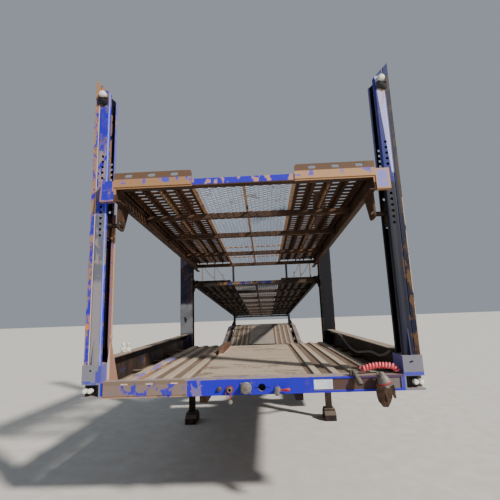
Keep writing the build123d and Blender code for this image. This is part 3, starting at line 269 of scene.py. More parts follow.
# ---------------------------------------------------------------- finishes
# Chips: which part of the patches' noise is laid bare, and how soft its edge and the pale halo round it are.
EDGE_SPAN, EDGE_BASE = 0.72, 0.14
CHIP_SOFT = 0.025
HALO_WIDTH, HALO_SOFT = 0.06, 0.09
RUST_SOFT = 0.12

# Runs of rust that water draws down a wall.
RUN_SCALE, RUN_DETAIL, RUN_SHIFT = 9.0, 4, 12
RUN_STRETCH: Point = (3.0, 3.0, 0.12)
RUN_EDGE, RUN_SOFT = 0.62, 0.2

# Tones of the zones: an unbroken tone is thinned a little, a broken one lies in blots.
THINNING = 0.08
BLOT_STEP, BLOT_SPAN, BLOT_SOFT = 7, 0.6, 0.04
STRIPE_SOFT = 0.04

# Relief in metres, and how much the surfaces mirror.
FLAKE_DEPTH, GRAIN_DEPTH = 0.0015, 0.0008
PAINT_SPECULAR, SMOOTH_SPECULAR = 0.25, 0.35
GRIME_SCALE = 5.0
THIN_DUST: Colour = (0.4, 0.33, 0.26)


class Layer(Enum):
    """Noise of a worn finish: its cells as a factor on the finish's scale, its octaves and its shift."""

    BROAD = (0.32, 5, 0)
    MIDDLE = (1.7, 6, 3)
    FINE = (9.0, 4, 5)
    SPOTS = (3.1, 6, 9)
    BLOTS = (1.3, 6, 21)


@dataclass(frozen=True)
class Zone:
    """Part of a surface that is worn, coloured in its own way, or given painted light or shade.

    share is how much of it the tone covers, in patches, and lean moves its limits for each metre of height.
    """

    axis: Axis
    low: float
    high: float
    tone: Colour | None = None
    strength: float = 1.0
    soft: float = 0.004
    share: float = 1.0
    lean: float = 0.0
    also: tuple["Zone", ...] = ()

    def mask(self, recipe: Recipe) -> Wire:
        """Where the zone is, from 0 to 1.

        Args:
            recipe: The material under construction.

        Returns:
            The zone's wire.
        """
        along = recipe.axes[self.axis]
        if self.lean:
            along = along - recipe.axes[Axis.Z] * self.lean
        found = along.between(self.low, self.high, self.soft)
        for other in self.also:
            found = found * other.mask(recipe)
        return found


@dataclass(frozen=True)
class Stripes:
    """Even stripes along the trailer, such as the ribs of a wheel track."""

    start: float
    pitch: float
    share: float
    tone: Colour
    strength: float = 0.6

    def mask(self, recipe: Recipe) -> Wire:
        """Where the stripes are, from 0 to 1.

        Args:
            recipe: The material under construction.

        Returns:
            The stripes' wire.
        """
        along = ((recipe.axes[Axis.ABS_X] - self.start) / self.pitch).math("FRACT")
        return along.between(0.5 - self.share / 2, 0.5 + self.share / 2, STRIPE_SOFT)


@dataclass(frozen=True)
class Finish:
    """Worn coat over primer and rust, with streaks, grime and dust.

    coat and shift are the paint's two shades and under the layer below it. chip and rusting are shares, and
    rough and metal go from sound paint to bare steel.
    """

    name: str
    coat: Colour
    shift: Colour
    under: Colour
    rust: Colour = (0.115, 0.048, 0.022)
    chip: float = 0.2
    rusting: float = 0.4
    scale: float = 7.0
    stretch: Point = (1.0, 1.0, 0.6)
    streak: float = 0.3
    dust: float = 0.4
    dust_tone: Colour = (0.42, 0.335, 0.26)
    rough: Span = (0.42, 0.78)
    metal: Span = (0.0, 0.1)
    relief: float = 0.5
    zones: tuple[Zone, ...] = ()
    stripes: tuple[Stripes, ...] = ()
    seed: float = 0.0

    def build(self) -> bpy.types.Material:
        """Makes the material.

        Returns:
            The material with its nodes.
        """
        recipe = Recipe(self.name)
        broad = self.layer(recipe, Layer.BROAD, self.stretch)
        middle = self.layer(recipe, Layer.MIDDLE, self.stretch)
        fine = self.layer(recipe, Layer.FINE)
        patches = broad * 0.4 + middle * 0.4 + fine * 0.2
        edge = (1 - self.chip) * EDGE_SPAN + EDGE_BASE
        bare = patches.above(edge, CHIP_SOFT)
        halo = patches.above(edge - HALO_WIDTH, HALO_SOFT)
        spots = self.layer(recipe, Layer.SPOTS)
        rusty = spots.above(1 - self.rusting, RUST_SOFT)
        coat = recipe.mix(broad * 0.8, self.coat, self.shift)
        coat = recipe.mix(halo * 0.35, coat, self.under)
        below = recipe.mix(rusty, self.under, self.rust)
        below = recipe.mix(fine * 0.3, below, self.rust)
        colour = recipe.mix(bare, coat, below)
        runs = recipe.noise(RUN_SCALE, RUN_DETAIL, RUN_STRETCH, self.seed + RUN_SHIFT)
        colour = recipe.mix(runs.above(RUN_EDGE, RUN_SOFT) * self.streak, colour, self.rust)
        for stripe in self.stripes:
            shown = stripe.mask(recipe) * (1 - broad * 0.45) * stripe.strength
            colour = recipe.mix(shown, colour, stripe.tone)
        for number, zone in enumerate(self.zones):
            if zone.tone is not None:
                shown = self.zone_cover(recipe, zone, number, middle)
                colour = recipe.mix(shown, colour, zone.tone)
        dusty = recipe.facing_up() * (broad * 0.5 + fine * 0.5 + 0.25).held() * self.dust
        colour = recipe.mix(dusty, colour, self.dust_tone)
        rough = (bare * (self.rough[1] - self.rough[0]) + fine * 0.1 + self.rough[0] + dusty * 0.25).held()
        metal = bare * (self.metal[1] - self.metal[0]) + self.metal[0]
        height = fine * 0.35 + middle * 0.15 - bare * 0.5
        return recipe.close(colour, rough, metal, recipe.bump(height, self.relief, FLAKE_DEPTH),
                            Specular_IOR_Level=PAINT_SPECULAR)

    def layer(self, recipe: Recipe, layer: Layer, stretch: Point = EVEN) -> Wire:
        """One layer of the finish's noise.

        Args:
            recipe: The material under construction.
            layer: The layer.
            stretch: Factors on the three coordinates.

        Returns:
            The layer's wire.
        """
        factor, octaves, shift = layer.value
        return recipe.noise(self.scale * factor, octaves, stretch, self.seed + shift)

    def zone_cover(self, recipe: Recipe, zone: Zone, number: int, middle: Wire) -> Wire:
        """How much a zone's tone covers.

        Args:
            recipe: The material under construction.
            zone: The zone.
            number: Its place among the zones, which sets its own patches.
            middle: Noise that thins an unbroken tone a little.

        Returns:
            The tone's share at each point.
        """
        shown = zone.mask(recipe) * zone.strength
        if zone.share >= 1:
            return shown * (middle * THINNING + (1 - THINNING))
        factor, octaves, shift = Layer.BLOTS.value
        blots = recipe.noise(self.scale * factor, octaves, self.stretch,
                             self.seed + shift + BLOT_STEP * number)
        return shown * blots.above(0.5 + (0.5 - zone.share) * BLOT_SPAN, BLOT_SOFT)


@dataclass(frozen=True)
class SmoothFinish:
    """Even material with fine grain, for lenses, rubber, plastic and hose."""

    name: str
    tone: Colour
    grime: Colour
    rough: float = 0.4
    grime_share: float = 0.3
    grain: float = 60.0
    relief: float = 0.2
    metal: float = 0.0
    coat: float = 0.0
    zones: tuple[Zone, ...] = ()

    def build(self) -> bpy.types.Material:
        """Makes the material.

        Returns:
            The material with its nodes.
        """
        recipe = Recipe(self.name)
        broad = recipe.noise(GRIME_SCALE, 5)
        fine = recipe.noise(self.grain, 4)
        dirty = (broad * 0.6 + fine * 0.6).above(1 - self.grime_share, 0.3)
        colour = recipe.mix(dirty * 0.8, self.tone, self.grime)
        for zone in self.zones:
            if zone.tone is not None:
                colour = recipe.mix(zone.mask(recipe) * zone.strength, colour, zone.tone)
        colour = recipe.mix(recipe.facing_up() * broad * 0.3, colour, THIN_DUST)
        rough = (dirty * 0.25 + self.rough).held()
        return recipe.close(colour, rough, self.metal, recipe.bump(fine, self.relief, GRAIN_DEPTH),
                            Coat_Weight=self.coat, Specular_IOR_Level=SMOOTH_SPECULAR)


BLUE: Colour = (0.015, 0.006, 0.47)
BLUE_WORN: Colour = (0.022, 0.023, 0.34)
LAVENDER: Colour = (0.30, 0.30, 0.56)
NAVY: Colour = (0.006, 0.010, 0.045)
TAN: Colour = (0.33, 0.182, 0.090)
PEACH: Colour = (0.44, 0.255, 0.132)
CREAM: Colour = (0.58, 0.48, 0.36)
TAN_GREY: Colour = (0.245, 0.190, 0.150)
STEEL_GREY: Colour = (0.215, 0.205, 0.200)
RUST: Colour = (0.125, 0.050, 0.022)
BROWN: Colour = (0.095, 0.052, 0.030)
# Near black for painted shade inside hollows.
PAINTED_SHADE_BLACK: Colour = (0.004, 0.004, 0.005)
DUST: Colour = (0.46, 0.375, 0.295)
BOX_GREY: Colour = (0.185, 0.185, 0.190)


class Paint:
    """The finishes of the trailer, each made once."""

    def __init__(self) -> None:
        """Starts with nothing made."""
        self.made: dict[str, bpy.types.Material] = {}

    def of(self, finish: Finish | SmoothFinish) -> bpy.types.Material:
        """The finish's material, made at its first use.

        Args:
            finish: The finish.

        Returns:
            Its material.
        """
        if finish.name not in self.made:
            self.made[finish.name] = finish.build()
        return self.made[finish.name]


PAINT = Paint()

FACE = Zone(Axis.Y, -6.20, -6.165, soft=0.001)
# Painted shade: the inside of the posts' channel is near black.
POST_INSIDE_SHADE = Zone(Axis.ABS_X, 1.1545, 1.2275, tone=PAINTED_SHADE_BLACK, soft=0.0005,
                   also=(Zone(Axis.Y, -6.1725, -6.0125, soft=0.0005),))
INNER_STROKE = Zone(Axis.ABS_X, 1.194, 1.209, tone=TAN, strength=0.9, soft=0.002, share=0.75,
                    also=(Zone(Axis.Y, -6.03, -6.011, soft=0.0005), Zone(Axis.Z, 2.62, 3.46)))
LIP_EDGE = Zone(Axis.ABS_X, 1.1465, 1.1545, soft=0.001)
LIP_DEPTH = Zone(Axis.Y, -6.05, -6.0, soft=0.002)
REAR_LIP = Zone(Axis.Z, 2.60, 3.70, tone=LAVENDER, strength=0.45, also=(LIP_EDGE, LIP_DEPTH))
LOWER_LIP = Zone(Axis.Z, 1.20, 2.58, tone=(0.30, 0.150, 0.070), strength=0.9, share=0.85,
                 also=(LIP_EDGE, LIP_DEPTH))

LEFT_CHANNEL = (Zone(Axis.ABS_X, 1.158, 1.233, soft=0.003), FACE)
POST_LEFT = Finish(
    "post_paint_left", BLUE, BLUE_WORN, TAN_GREY, chip=0.36, scale=15.0, streak=0.15, dust=0.3, seed=2.0,
    zones=(
        Zone(Axis.Z, 1.2, 2.46, tone=(0.245, 0.225, 0.205), strength=0.93, soft=0.03, also=LEFT_CHANNEL),
        # Painted shadow: a dark band on the left post's channel just under the end block.
        Zone(Axis.Z, 1.9, 2.47, tone=(0.060, 0.075, 0.115), strength=0.7, soft=0.02, share=0.75,
             also=LEFT_CHANNEL),
        Zone(Axis.Z, 2.62, 3.06, tone=(0.27, 0.215, 0.175), strength=0.9, soft=0.06, share=0.6,
             also=(Zone(Axis.ABS_X, 1.160, 1.233, soft=0.003), FACE)),
        # Painted highlight: a bright blue line along the inner fold of the left post's flange.
        Zone(Axis.ABS_X, 1.1475, 1.1540, tone=(0.13, 0.22, 0.78), strength=0.9, soft=0.0012, also=(FACE,)),
        Zone(Axis.ABS_X, 1.239, 1.30, tone=TAN, strength=0.9, share=0.72, also=(Zone(Axis.Z, 2.45, 3.72),)),
        Zone(Axis.ABS_X, 1.239, 1.30, tone=TAN, strength=0.85, share=0.38, also=(Zone(Axis.Z, 1.2, 2.45),)),
        Zone(Axis.ABS_X, 1.268, 1.30, tone=TAN_GREY, strength=0.8, share=0.7),
        Zone(Axis.ABS_X, 1.2335, 1.2395, tone=CREAM, strength=0.9, soft=0.0012, also=(FACE,)),
        Zone(Axis.Z, 3.585, 3.72, tone=TAN, strength=0.9, share=0.7),
        POST_INSIDE_SHADE,
        INNER_STROKE,
        REAR_LIP,
        LOWER_LIP,
    ))
CHANNEL_EDGE = Zone(Axis.ABS_X, 1.0, 1.236, soft=0.001)
# Painted sunlight on the right front post: a pale lavender wedge on the upper flange, its edge leaning with
# height.
PAINTED_SUN_AREA = (CHANNEL_EDGE, Zone(Axis.Z, 2.70, 3.60, soft=0.01), FACE)
PAINTED_SUN_LEAN = -0.0667
POST_RIGHT = Finish(
    "post_paint_right", (0.008, 0.020, 0.20), (0.014, 0.022, 0.12), STEEL_GREY, chip=0.12, scale=9.0,
    streak=0.25, dust=0.12, seed=11.0, zones=(
        # Painted sunlight: the pale lavender wedge, then tan spots laid only inside it.
        Zone(Axis.ABS_X, 1.395, 1.9, lean=PAINTED_SUN_LEAN, tone=(0.40, 0.42, 0.74), strength=0.95, soft=0.002,
             also=PAINTED_SUN_AREA),
        Zone(Axis.ABS_X, 1.395, 1.9, lean=PAINTED_SUN_LEAN, tone=PEACH, strength=0.8, share=0.2, soft=0.002,
             also=PAINTED_SUN_AREA),
        # Painted shade: the outer strip of the right post is near black.
        Zone(Axis.ABS_X, 1.2365, 1.30, tone=(0.004, 0.005, 0.011), strength=0.97, soft=0.001),
        Zone(Axis.ABS_X, 1.252, 1.30, tone=(0.050, 0.030, 0.017), strength=0.8, share=0.42),
        Zone(Axis.Z, 3.575, 3.75, tone=(0.002, 0.010, 0.085), strength=0.97, soft=0.004),
        # Painted shade: the right post's channel below the sunlit wedge is near black.
        Zone(Axis.Z, 1.2, 2.62, tone=(0.010, 0.011, 0.015), strength=0.97, soft=0.02, also=(CHANNEL_EDGE,)),
        Zone(Axis.ABS_X, 1.176, 1.196, tone=(0.034, 0.036, 0.044), strength=0.6, soft=0.008,
             also=(Zone(Axis.Z, 1.45, 2.60, soft=0.05), FACE)),
        Zone(Axis.Z, 1.30, 2.05, tone=(0.12, 0.058, 0.021), strength=0.8, soft=0.12, share=0.38,
             also=(Zone(Axis.ABS_X, 1.222, 1.268, soft=0.006),)),
        Zone(Axis.ABS_X, 1.2705, 1.30, tone=CREAM, strength=0.75, soft=0.001, share=0.7,
             also=(Zone(Axis.Z, 1.2, 2.5),)),
        POST_INSIDE_SHADE,
        REAR_LIP,
    ))
POST_FAR = Finish(
    "post_paint_far", (0.004, 0.006, 0.022), (0.009, 0.012, 0.040), BROWN, chip=0.12, streak=0.3, dust=0.15,
    seed=5.0, zones=(
        # Painted sunlight: a light grey patch on the lower flange of the left middle post.
        Zone(Axis.X, -1.30, -1.06, tone=(0.19, 0.20, 0.22), strength=0.85, share=0.8,
             also=(Zone(Axis.Z, 1.30, 1.78, soft=0.02), Zone(Axis.Y, -3.10, -3.05, soft=0.001))),
        Zone(Axis.X, 1.06, 1.30, tone=(0.0036, 0.0042, 0.0062), strength=0.95),
        Zone(Axis.ABS_X, 1.262, 1.30, tone=BROWN, strength=0.7, share=0.5),
        Zone(Axis.ABS_X, 1.068, 1.085, tone=BROWN, strength=0.7, share=0.5),
    ))

LEFT_PLATE = Zone(Axis.X, -1.108, -0.470, soft=0.002)
BEAM_FACE = Zone(Axis.Y, -6.30, -6.185, soft=0.001)
CORNER = Zone(Axis.ABS_X, 1.130, 1.30, soft=0.002)
BEAM_TOP = (Zone(Axis.Z, 1.1285, 1.135, soft=0.0005), Zone(Axis.Y, -6.202, -6.05))
RIGHT_RECESS = (Zone(Axis.Z, 1.0345, 1.1125, soft=0.002), BEAM_FACE)
GUSSET = (Zone(Axis.Y, -6.0895, -6.05, soft=0.001), Zone(Axis.Z, 1.131, 1.60))
BEAM = Finish(
    "beam_paint", BLUE, (0.014, 0.010, 0.40), TAN_GREY, chip=0.10, scale=9.0, streak=0.10, dust=0.75,
    seed=7.0, zones=(
        Zone(Axis.Z, 1.0, 1.20, tone=(0.205, 0.148, 0.100), strength=0.97, also=(LEFT_PLATE, BEAM_FACE)),
        Zone(Axis.Z, 1.0, 1.13, tone=(0.022, 0.018, 0.40), strength=0.92, share=0.36,
             also=(Zone(Axis.X, -1.02, -0.52, soft=0.05), BEAM_FACE)),
        Zone(Axis.Z, 1.1105, 1.20, tone=(0.160, 0.115, 0.080), strength=0.85, also=(LEFT_PLATE, BEAM_FACE)),
        # Painted light: the beam's face behind the left plate's slots is pale cream, so the slots show
        # bright.
        Zone(Axis.X, -1.02, -0.50, tone=(0.66, 0.54, 0.42), soft=0.001,
             also=(Zone(Axis.Y, -6.2050, -6.190, soft=0.0005), Zone(Axis.Z, 1.1085, 1.1295, soft=0.0005))),
        Zone(Axis.X, -0.470, -0.34, tone=TAN_GREY, strength=0.6, share=0.35, also=(BEAM_FACE,)),
        Zone(Axis.ABS_X, 0.455, 1.13, tone=TAN_GREY, strength=0.85, share=0.85, also=BEAM_TOP),
        Zone(Axis.ABS_X, 0.0, 0.46, tone=TAN_GREY, strength=0.85, share=0.55, also=BEAM_TOP),
        Zone(Axis.X, -1.130, -0.470, tone=PEACH, strength=0.7, share=0.85,
             also=(Zone(Axis.Z, 1.0, 1.0345, soft=0.002),)),
        Zone(Axis.X, 0.470, 1.108, tone=(0.080, 0.045, 0.021), strength=1.0, also=RIGHT_RECESS),
        Zone(Axis.X, 0.955, 1.108, tone=(0.170, 0.150, 0.150), strength=0.85, soft=0.02, also=RIGHT_RECESS),
        Zone(Axis.X, 0.80, 1.125, tone=BROWN, strength=0.85, also=(Zone(Axis.Z, 1.1125, 1.14, soft=0.001),)),
        Zone(Axis.Z, 1.0, 1.264, tone=BOX_GREY, strength=0.97, also=(CORNER,)),
        # Painted shade above the right corner box, and painted light on the rib above the left one.
        Zone(Axis.Z, 1.264, 1.50, tone=(0.030, 0.030, 0.036), strength=0.9, also=(Zone(Axis.X, 1.10, 1.30),)),
        Zone(Axis.Z, 1.264, 1.50, tone=(0.20, 0.185, 0.17), strength=0.9, also=(Zone(Axis.X, -1.26, -1.17),)),
        Zone(Axis.Z, 1.120, 1.145, tone=(0.028, 0.030, 0.42), strength=0.8, share=0.8, soft=0.003,
             also=(CORNER, BEAM_FACE)),
        Zone(Axis.X, -1.170, -1.129, tone=(0.030, 0.030, 0.36), strength=0.8, share=0.5,
             also=(Zone(Axis.Z, 1.13, 1.27), BEAM_FACE)),
        Zone(Axis.Z, 1.0305, 1.1175, tone=(0.030, 0.026, 0.024), strength=0.95, soft=0.001,
             also=(Zone(Axis.ABS_X, 1.1425, 1.30, soft=0.001), Zone(Axis.Y, -6.1985, -6.10, soft=0.0005))),
        # Painted shade: the open hole beside the sockets is near black inside.
        Zone(Axis.X, 0.050, 0.124, tone=PAINTED_SHADE_BLACK, soft=0.001,
             also=(Zone(Axis.Y, -6.1985, -6.0, soft=0.0005), Zone(Axis.Z, 1.03, 1.10))),
        Zone(Axis.X, -1.20, -0.90, tone=(0.36, 0.190, 0.095), strength=0.97, also=GUSSET),
        Zone(Axis.X, -1.131, -1.112, tone=CREAM, strength=0.95, soft=0.001, also=GUSSET),
    ))
MAIN_BEAM = Finish(
    "main_beam_paint", NAVY, (0.014, 0.020, 0.10), (0.10, 0.075, 0.06), chip=0.3, streak=0.5, dust=0.6,
    seed=13.0)
LEG_PAINT = Finish(
    "leg_paint", (0.007, 0.006, 0.006), (0.016, 0.013, 0.011), BROWN, chip=0.22, rusting=0.2, dust=0.35,
    rough=(0.6, 0.85), seed=97.0)
UNDERFRAME = Finish(
    "underframe_paint", (0.020, 0.016, 0.015), (0.040, 0.031, 0.026), BROWN, chip=0.28, rusting=0.35,
    dust=0.5, rough=(0.6, 0.85), seed=17.0)
SILL = Finish(
    "sill_paint", (0.010, 0.0085, 0.008), (0.030, 0.023, 0.019), BROWN, chip=0.20, streak=0.3, dust=0.7,
    rough=(0.6, 0.85), seed=19.0, zones=(
        Zone(Axis.Z, 1.268, 1.30, tone=TAN_GREY, strength=0.6, share=0.8),
        Zone(Axis.X, -1.30, -1.0, tone=(0.02, 0.030, 0.13), strength=0.45, share=0.22,
             also=(Zone(Axis.Z, 1.10, 1.262), Zone(Axis.Y, -5.9, -3.9))),
    ))

TRACK_START, TRACK_PITCH = 0.45, 0.145
HUMP_START, HUMP_PITCH = 0.41, 0.155
NECK_TRACK = Finish(
    "neck_track_steel", (0.125, 0.085, 0.062), (0.20, 0.145, 0.105), (0.10, 0.062, 0.042), chip=0.34,
    scale=5.0, stretch=(1.6, 0.35, 1.0), streak=0.1, dust=0.12, dust_tone=DUST, rough=(0.72, 0.88),
    stripes=(Stripes(TRACK_START, TRACK_PITCH, 0.44, (0.50, 0.41, 0.315), 0.95),), seed=23.0, zones=(
        Zone(Axis.X, -1.04, -0.86, tone=(0.42, 0.20, 0.060), strength=0.85, share=0.42,
             also=(Zone(Axis.Y, -6.1, -4.6, soft=0.2),)),
        Zone(Axis.X, -1.04, -0.92, tone=(0.05, 0.08, 0.42), strength=0.7, share=0.3,
             also=(Zone(Axis.Y, -6.1, -4.2, soft=0.2),)),
        Zone(Axis.X, -1.035, -1.012, tone=(0.62, 0.50, 0.20), strength=0.9, share=0.7, soft=0.002,
             also=(Zone(Axis.Y, -6.0, -4.4, soft=0.1),)),
    ))
NECK_PLATE = Finish(
    "neck_plate_steel", (0.35, 0.275, 0.205), (0.45, 0.365, 0.280), (0.19, 0.14, 0.105), chip=0.28, scale=4.0,
    stretch=(0.5, 1.3, 1.0), streak=0.05, dust=0.25, dust_tone=(0.50, 0.42, 0.34), rough=(0.66, 0.85),
    seed=29.0, zones=(
        Zone(Axis.Y, -6.11, -6.03, tone=(0.06, 0.09, 0.42), strength=0.7, share=0.6, soft=0.02),
        Zone(Axis.Z, 1.130, 1.30, tone=(0.085, 0.026, 0.009), strength=1.0, soft=0.003),
    ))
HUMP_TRACK = Finish(
    "hump_track_steel", (0.085, 0.062, 0.050), (0.15, 0.115, 0.090), (0.06, 0.038, 0.028), chip=0.4,
    scale=5.0, stretch=(1.6, 0.35, 1.0), streak=0.1, dust=0.25, rough=(0.72, 0.88),
    stripes=(Stripes(HUMP_START, HUMP_PITCH, 0.42, (0.35, 0.28, 0.215), 0.85),), seed=31.0)
HUMP_PLATE = Finish(
    "hump_plate_steel", (0.150, 0.140, 0.135), (0.20, 0.19, 0.18), (0.10, 0.085, 0.075), chip=0.2, scale=4.0,
    streak=0.05, dust=0.5, rough=(0.6, 0.8), seed=37.0)

DECK_FACE = Zone(Axis.Y, -6.32, -6.2290, soft=0.0008)
BEAM_EDGE = Zone(Axis.Y, -6.32, -6.2325, soft=0.0008)
MIDDLE_BAR = (BEAM_EDGE, Zone(Axis.Z, 2.655, 2.90))
SIDE_BAR = (DECK_FACE, Zone(Axis.Z, 2.60, 2.726, soft=0.002))
SIDE_BAR_TOP = (DECK_FACE, Zone(Axis.Z, 2.680, 2.728, soft=0.006))
FRONT_DECK_PAINT = Finish(
    "front_deck_paint", (0.030, 0.016, 0.011), (0.060, 0.032, 0.019), BROWN, chip=0.3, rusting=0.55,
    streak=0.2, dust=0.5, scale=9.0, rough=(0.65, 0.85), seed=41.0, zones=(
        Zone(Axis.X, -0.416, 0.416, tone=BLUE, soft=0.002, also=MIDDLE_BAR),
        Zone(Axis.X, -0.416, 0.416, tone=PEACH, strength=0.95, share=0.22, soft=0.002, also=MIDDLE_BAR),
        Zone(Axis.X, 0.335, 0.416, tone=PEACH, strength=0.9, share=0.75, soft=0.01, also=MIDDLE_BAR),
        Zone(Axis.X, -1.07, -0.418, tone=TAN, strength=0.97, soft=0.001, also=SIDE_BAR),
        Zone(Axis.X, -1.07, -0.418, tone=(0.030, 0.050, 0.46), strength=0.9, share=0.30, soft=0.001,
             also=(DECK_FACE, Zone(Axis.Z, 2.684, 2.730, soft=0.006))),
        Zone(Axis.X, 0.418, 1.07, tone=PEACH, strength=0.97, soft=0.001, also=SIDE_BAR),
        Zone(Axis.X, 0.418, 0.80, tone=(0.035, 0.055, 0.50), strength=0.85, share=0.42, soft=0.02,
             also=SIDE_BAR_TOP),
        Zone(Axis.X, 0.96, 1.07, tone=(0.06, 0.08, 0.50), strength=0.8, share=0.4, soft=0.01,
             also=SIDE_BAR_TOP),
        Zone(Axis.ABS_X, 0.418, 1.07, tone=(0.115, 0.064, 0.038), strength=0.95, soft=0.001,
             also=(DECK_FACE, Zone(Axis.Z, 2.727, 2.95, soft=0.002))),
    ))
END_BLOCK = Finish(
    "end_block_paint", BLUE, BLUE_WORN, TAN, chip=0.18, scale=16.0, streak=0.05, dust=0.3, seed=43.0, zones=(
        Zone(Axis.X, -1.30, -1.157, tone=TAN, strength=0.85, share=0.75, soft=0.002),
        Zone(Axis.X, -1.072, -1.0, tone=TAN, strength=0.85, share=0.75, soft=0.002),
        Zone(Axis.X, 1.0, 1.30, tone=PEACH, strength=0.95),
        Zone(Axis.X, 1.074, 1.150, tone=(0.17, 0.19, 0.60), strength=0.9, share=0.62, soft=0.004,
             also=(Zone(Axis.Z, 2.556, 2.700, soft=0.004),)),
        Zone(Axis.Z, 2.40, 2.553, tone=TAN, strength=0.8, share=0.8, soft=0.003),
        Zone(Axis.Y, -6.198, -6.0, tone=(0.030, 0.018, 0.012), strength=0.9, soft=0.001),
    ))
DECK_RUST = Finish(
    "deck_rust", (0.030, 0.014, 0.008), (0.060, 0.029, 0.016), (0.11, 0.056, 0.030), chip=0.28, rusting=0.5,
    streak=0.1, dust=0.5, rough=(0.7, 0.88), seed=47.0, zones=(
        Zone(Axis.ABS_X, 0.714, 0.730, tone=(0.30, 0.19, 0.105), strength=0.75, share=0.75, soft=0.001),
    ))
REAR_DECK_BAR = (Zone(Axis.Y, -2.93, -2.83), Zone(Axis.Z, 2.095, 2.40))
REAR_DECK_RUST = Finish(
    "rear_deck_rust", (0.012, 0.009, 0.008), (0.026, 0.018, 0.015), (0.060, 0.036, 0.022), chip=0.22,
    rusting=0.4, streak=0.1, dust=0.5, rough=(0.7, 0.88), seed=53.0, zones=(
        Zone(Axis.X, -0.60, 0.34, tone=(0.26, 0.145, 0.065), strength=0.9, share=0.62, soft=0.06,
             also=REAR_DECK_BAR),
        Zone(Axis.X, -0.60, 0.34, tone=(0.03, 0.045, 0.28), strength=0.85, share=0.25, soft=0.06,
             also=REAR_DECK_BAR),
    ))
WALKWAY_BARS = Finish(
    "walkway_bars", (0.34, 0.205, 0.125), (0.44, 0.28, 0.18), BROWN, chip=0.3, scale=12.0, streak=0.1,
    dust=0.3, rough=(0.65, 0.85), seed=57.0)
ZINC = Finish(
    "zinc_mesh", (0.14, 0.17, 0.24), (0.20, 0.23, 0.30), (0.15, 0.10, 0.075), chip=0.22, rusting=0.5,
    scale=5.0, streak=0.1, dust=0.3, rough=(0.45, 0.75), metal=(0.55, 0.1), relief=0.2, seed=59.0)
ZINC_OLD = Finish(
    "old_zinc_mesh", (0.095, 0.072, 0.058), (0.14, 0.11, 0.09), (0.07, 0.045, 0.03), chip=0.35, rusting=0.5,
    scale=5.0, streak=0.1, dust=0.3, rough=(0.55, 0.8), metal=(0.3, 0.1), relief=0.2, seed=61.0)
GREASY = Finish(
    "greasy_steel", (0.040, 0.030, 0.026), (0.070, 0.050, 0.040), BROWN, chip=0.4, rusting=0.25, streak=0.2,
    dust=0.3, rough=(0.4, 0.8), metal=(0.5, 0.2), seed=67.0)
WORN_STEEL = Finish(
    "worn_steel", (0.16, 0.135, 0.12), (0.22, 0.18, 0.15), RUST, chip=0.3, rusting=0.6, streak=0.2, dust=0.3,
    rough=(0.42, 0.8), metal=(0.6, 0.2), seed=71.0)
PIPES = Finish(
    "pipe_steel", (0.33, 0.180, 0.095), (0.22, 0.105, 0.050), (0.42, 0.33, 0.25), chip=0.3, rusting=0.4,
    scale=10.0, streak=0.4, dust=0.2, rough=(0.6, 0.8), seed=73.0, zones=(
        Zone(Axis.Z, 1.438, 1.472, tone=CREAM, strength=0.9, soft=0.002),
        Zone(Axis.X, -1.161, -1.10, tone=(0.42, 0.235, 0.125), strength=0.7, soft=0.001),
    ))
IRON = Finish(
    "suspension_iron", (0.028, 0.025, 0.025), (0.05, 0.043, 0.04), RUST, chip=0.3, rusting=0.5, dust=0.6,
    rough=(0.6, 0.85), seed=79.0)
RIM = Finish(
    "rim_paint", (0.33, 0.335, 0.34), (0.42, 0.42, 0.42), RUST, chip=0.12, rusting=0.5, scale=12.0,
    streak=0.15, dust=0.5, rough=(0.4, 0.8), metal=(0.25, 0.1), seed=83.0)
STOWED = Finish(
    "stowed_ramp_steel", (0.10, 0.075, 0.06), (0.16, 0.12, 0.095), RUST, chip=0.35, rusting=0.6, dust=0.6,
    rough=(0.6, 0.85), seed=89.0)

LENS = SmoothFinish(
    "white_lens", (0.80, 0.79, 0.72), (0.42, 0.38, 0.30), rough=0.16, grime_share=0.25, grain=40.0, coat=0.4,
    zones=(
        Zone(Axis.Z, 3.44, 3.516, tone=(0.012, 0.011, 0.011), soft=0.001),
    ))
RED_LENS = SmoothFinish(
    "red_lens", (0.42, 0.012, 0.010), (0.16, 0.05, 0.035), rough=0.2, coat=0.4, zones=(
        Zone(Axis.ABS_X, 0.86, 0.94, tone=(0.65, 0.20, 0.015), soft=0.002),
        Zone(Axis.ABS_X, 1.02, 1.08, tone=(0.62, 0.60, 0.55), soft=0.002),
    ))
PLASTIC = SmoothFinish(
    "black_plastic", (0.022, 0.022, 0.023), (0.10, 0.085, 0.07), rough=0.55, grime_share=0.35)
RUBBER = SmoothFinish(
    "tyre_rubber", (0.018, 0.017, 0.017), (0.12, 0.098, 0.078), rough=0.7, grime_share=0.4, grain=90.0,
    relief=0.35)
FITTING_GREY = SmoothFinish(
    "fitting_grey", (0.235, 0.230, 0.215), (0.075, 0.058, 0.045), rough=0.45, grime_share=0.45, metal=0.3,
    relief=0.4)
FITTING_OLIVE = SmoothFinish(
    "fitting_olive", (0.165, 0.155, 0.120), (0.050, 0.038, 0.030), rough=0.5, grime_share=0.5, metal=0.25,
    relief=0.5)
FITTING_RUST = SmoothFinish(
    "fitting_rust", (0.110, 0.070, 0.050), (0.045, 0.026, 0.018), rough=0.65, grime_share=0.5, relief=0.5)
DARK_MOUTH = SmoothFinish(
    "dark_mouth", (0.006, 0.006, 0.006), (0.012, 0.010, 0.009), rough=0.8, grime_share=0.2)
TAP_RED = SmoothFinish("tap_red", (0.34, 0.004, 0.018), (0.20, 0.016, 0.022), rough=0.35, grime_share=0.25)
LEATHER = SmoothFinish(
    "leathery_flap", (0.062, 0.030, 0.015), (0.014, 0.009, 0.006), rough=0.75, grime_share=0.55, grain=30.0,
    relief=0.9)
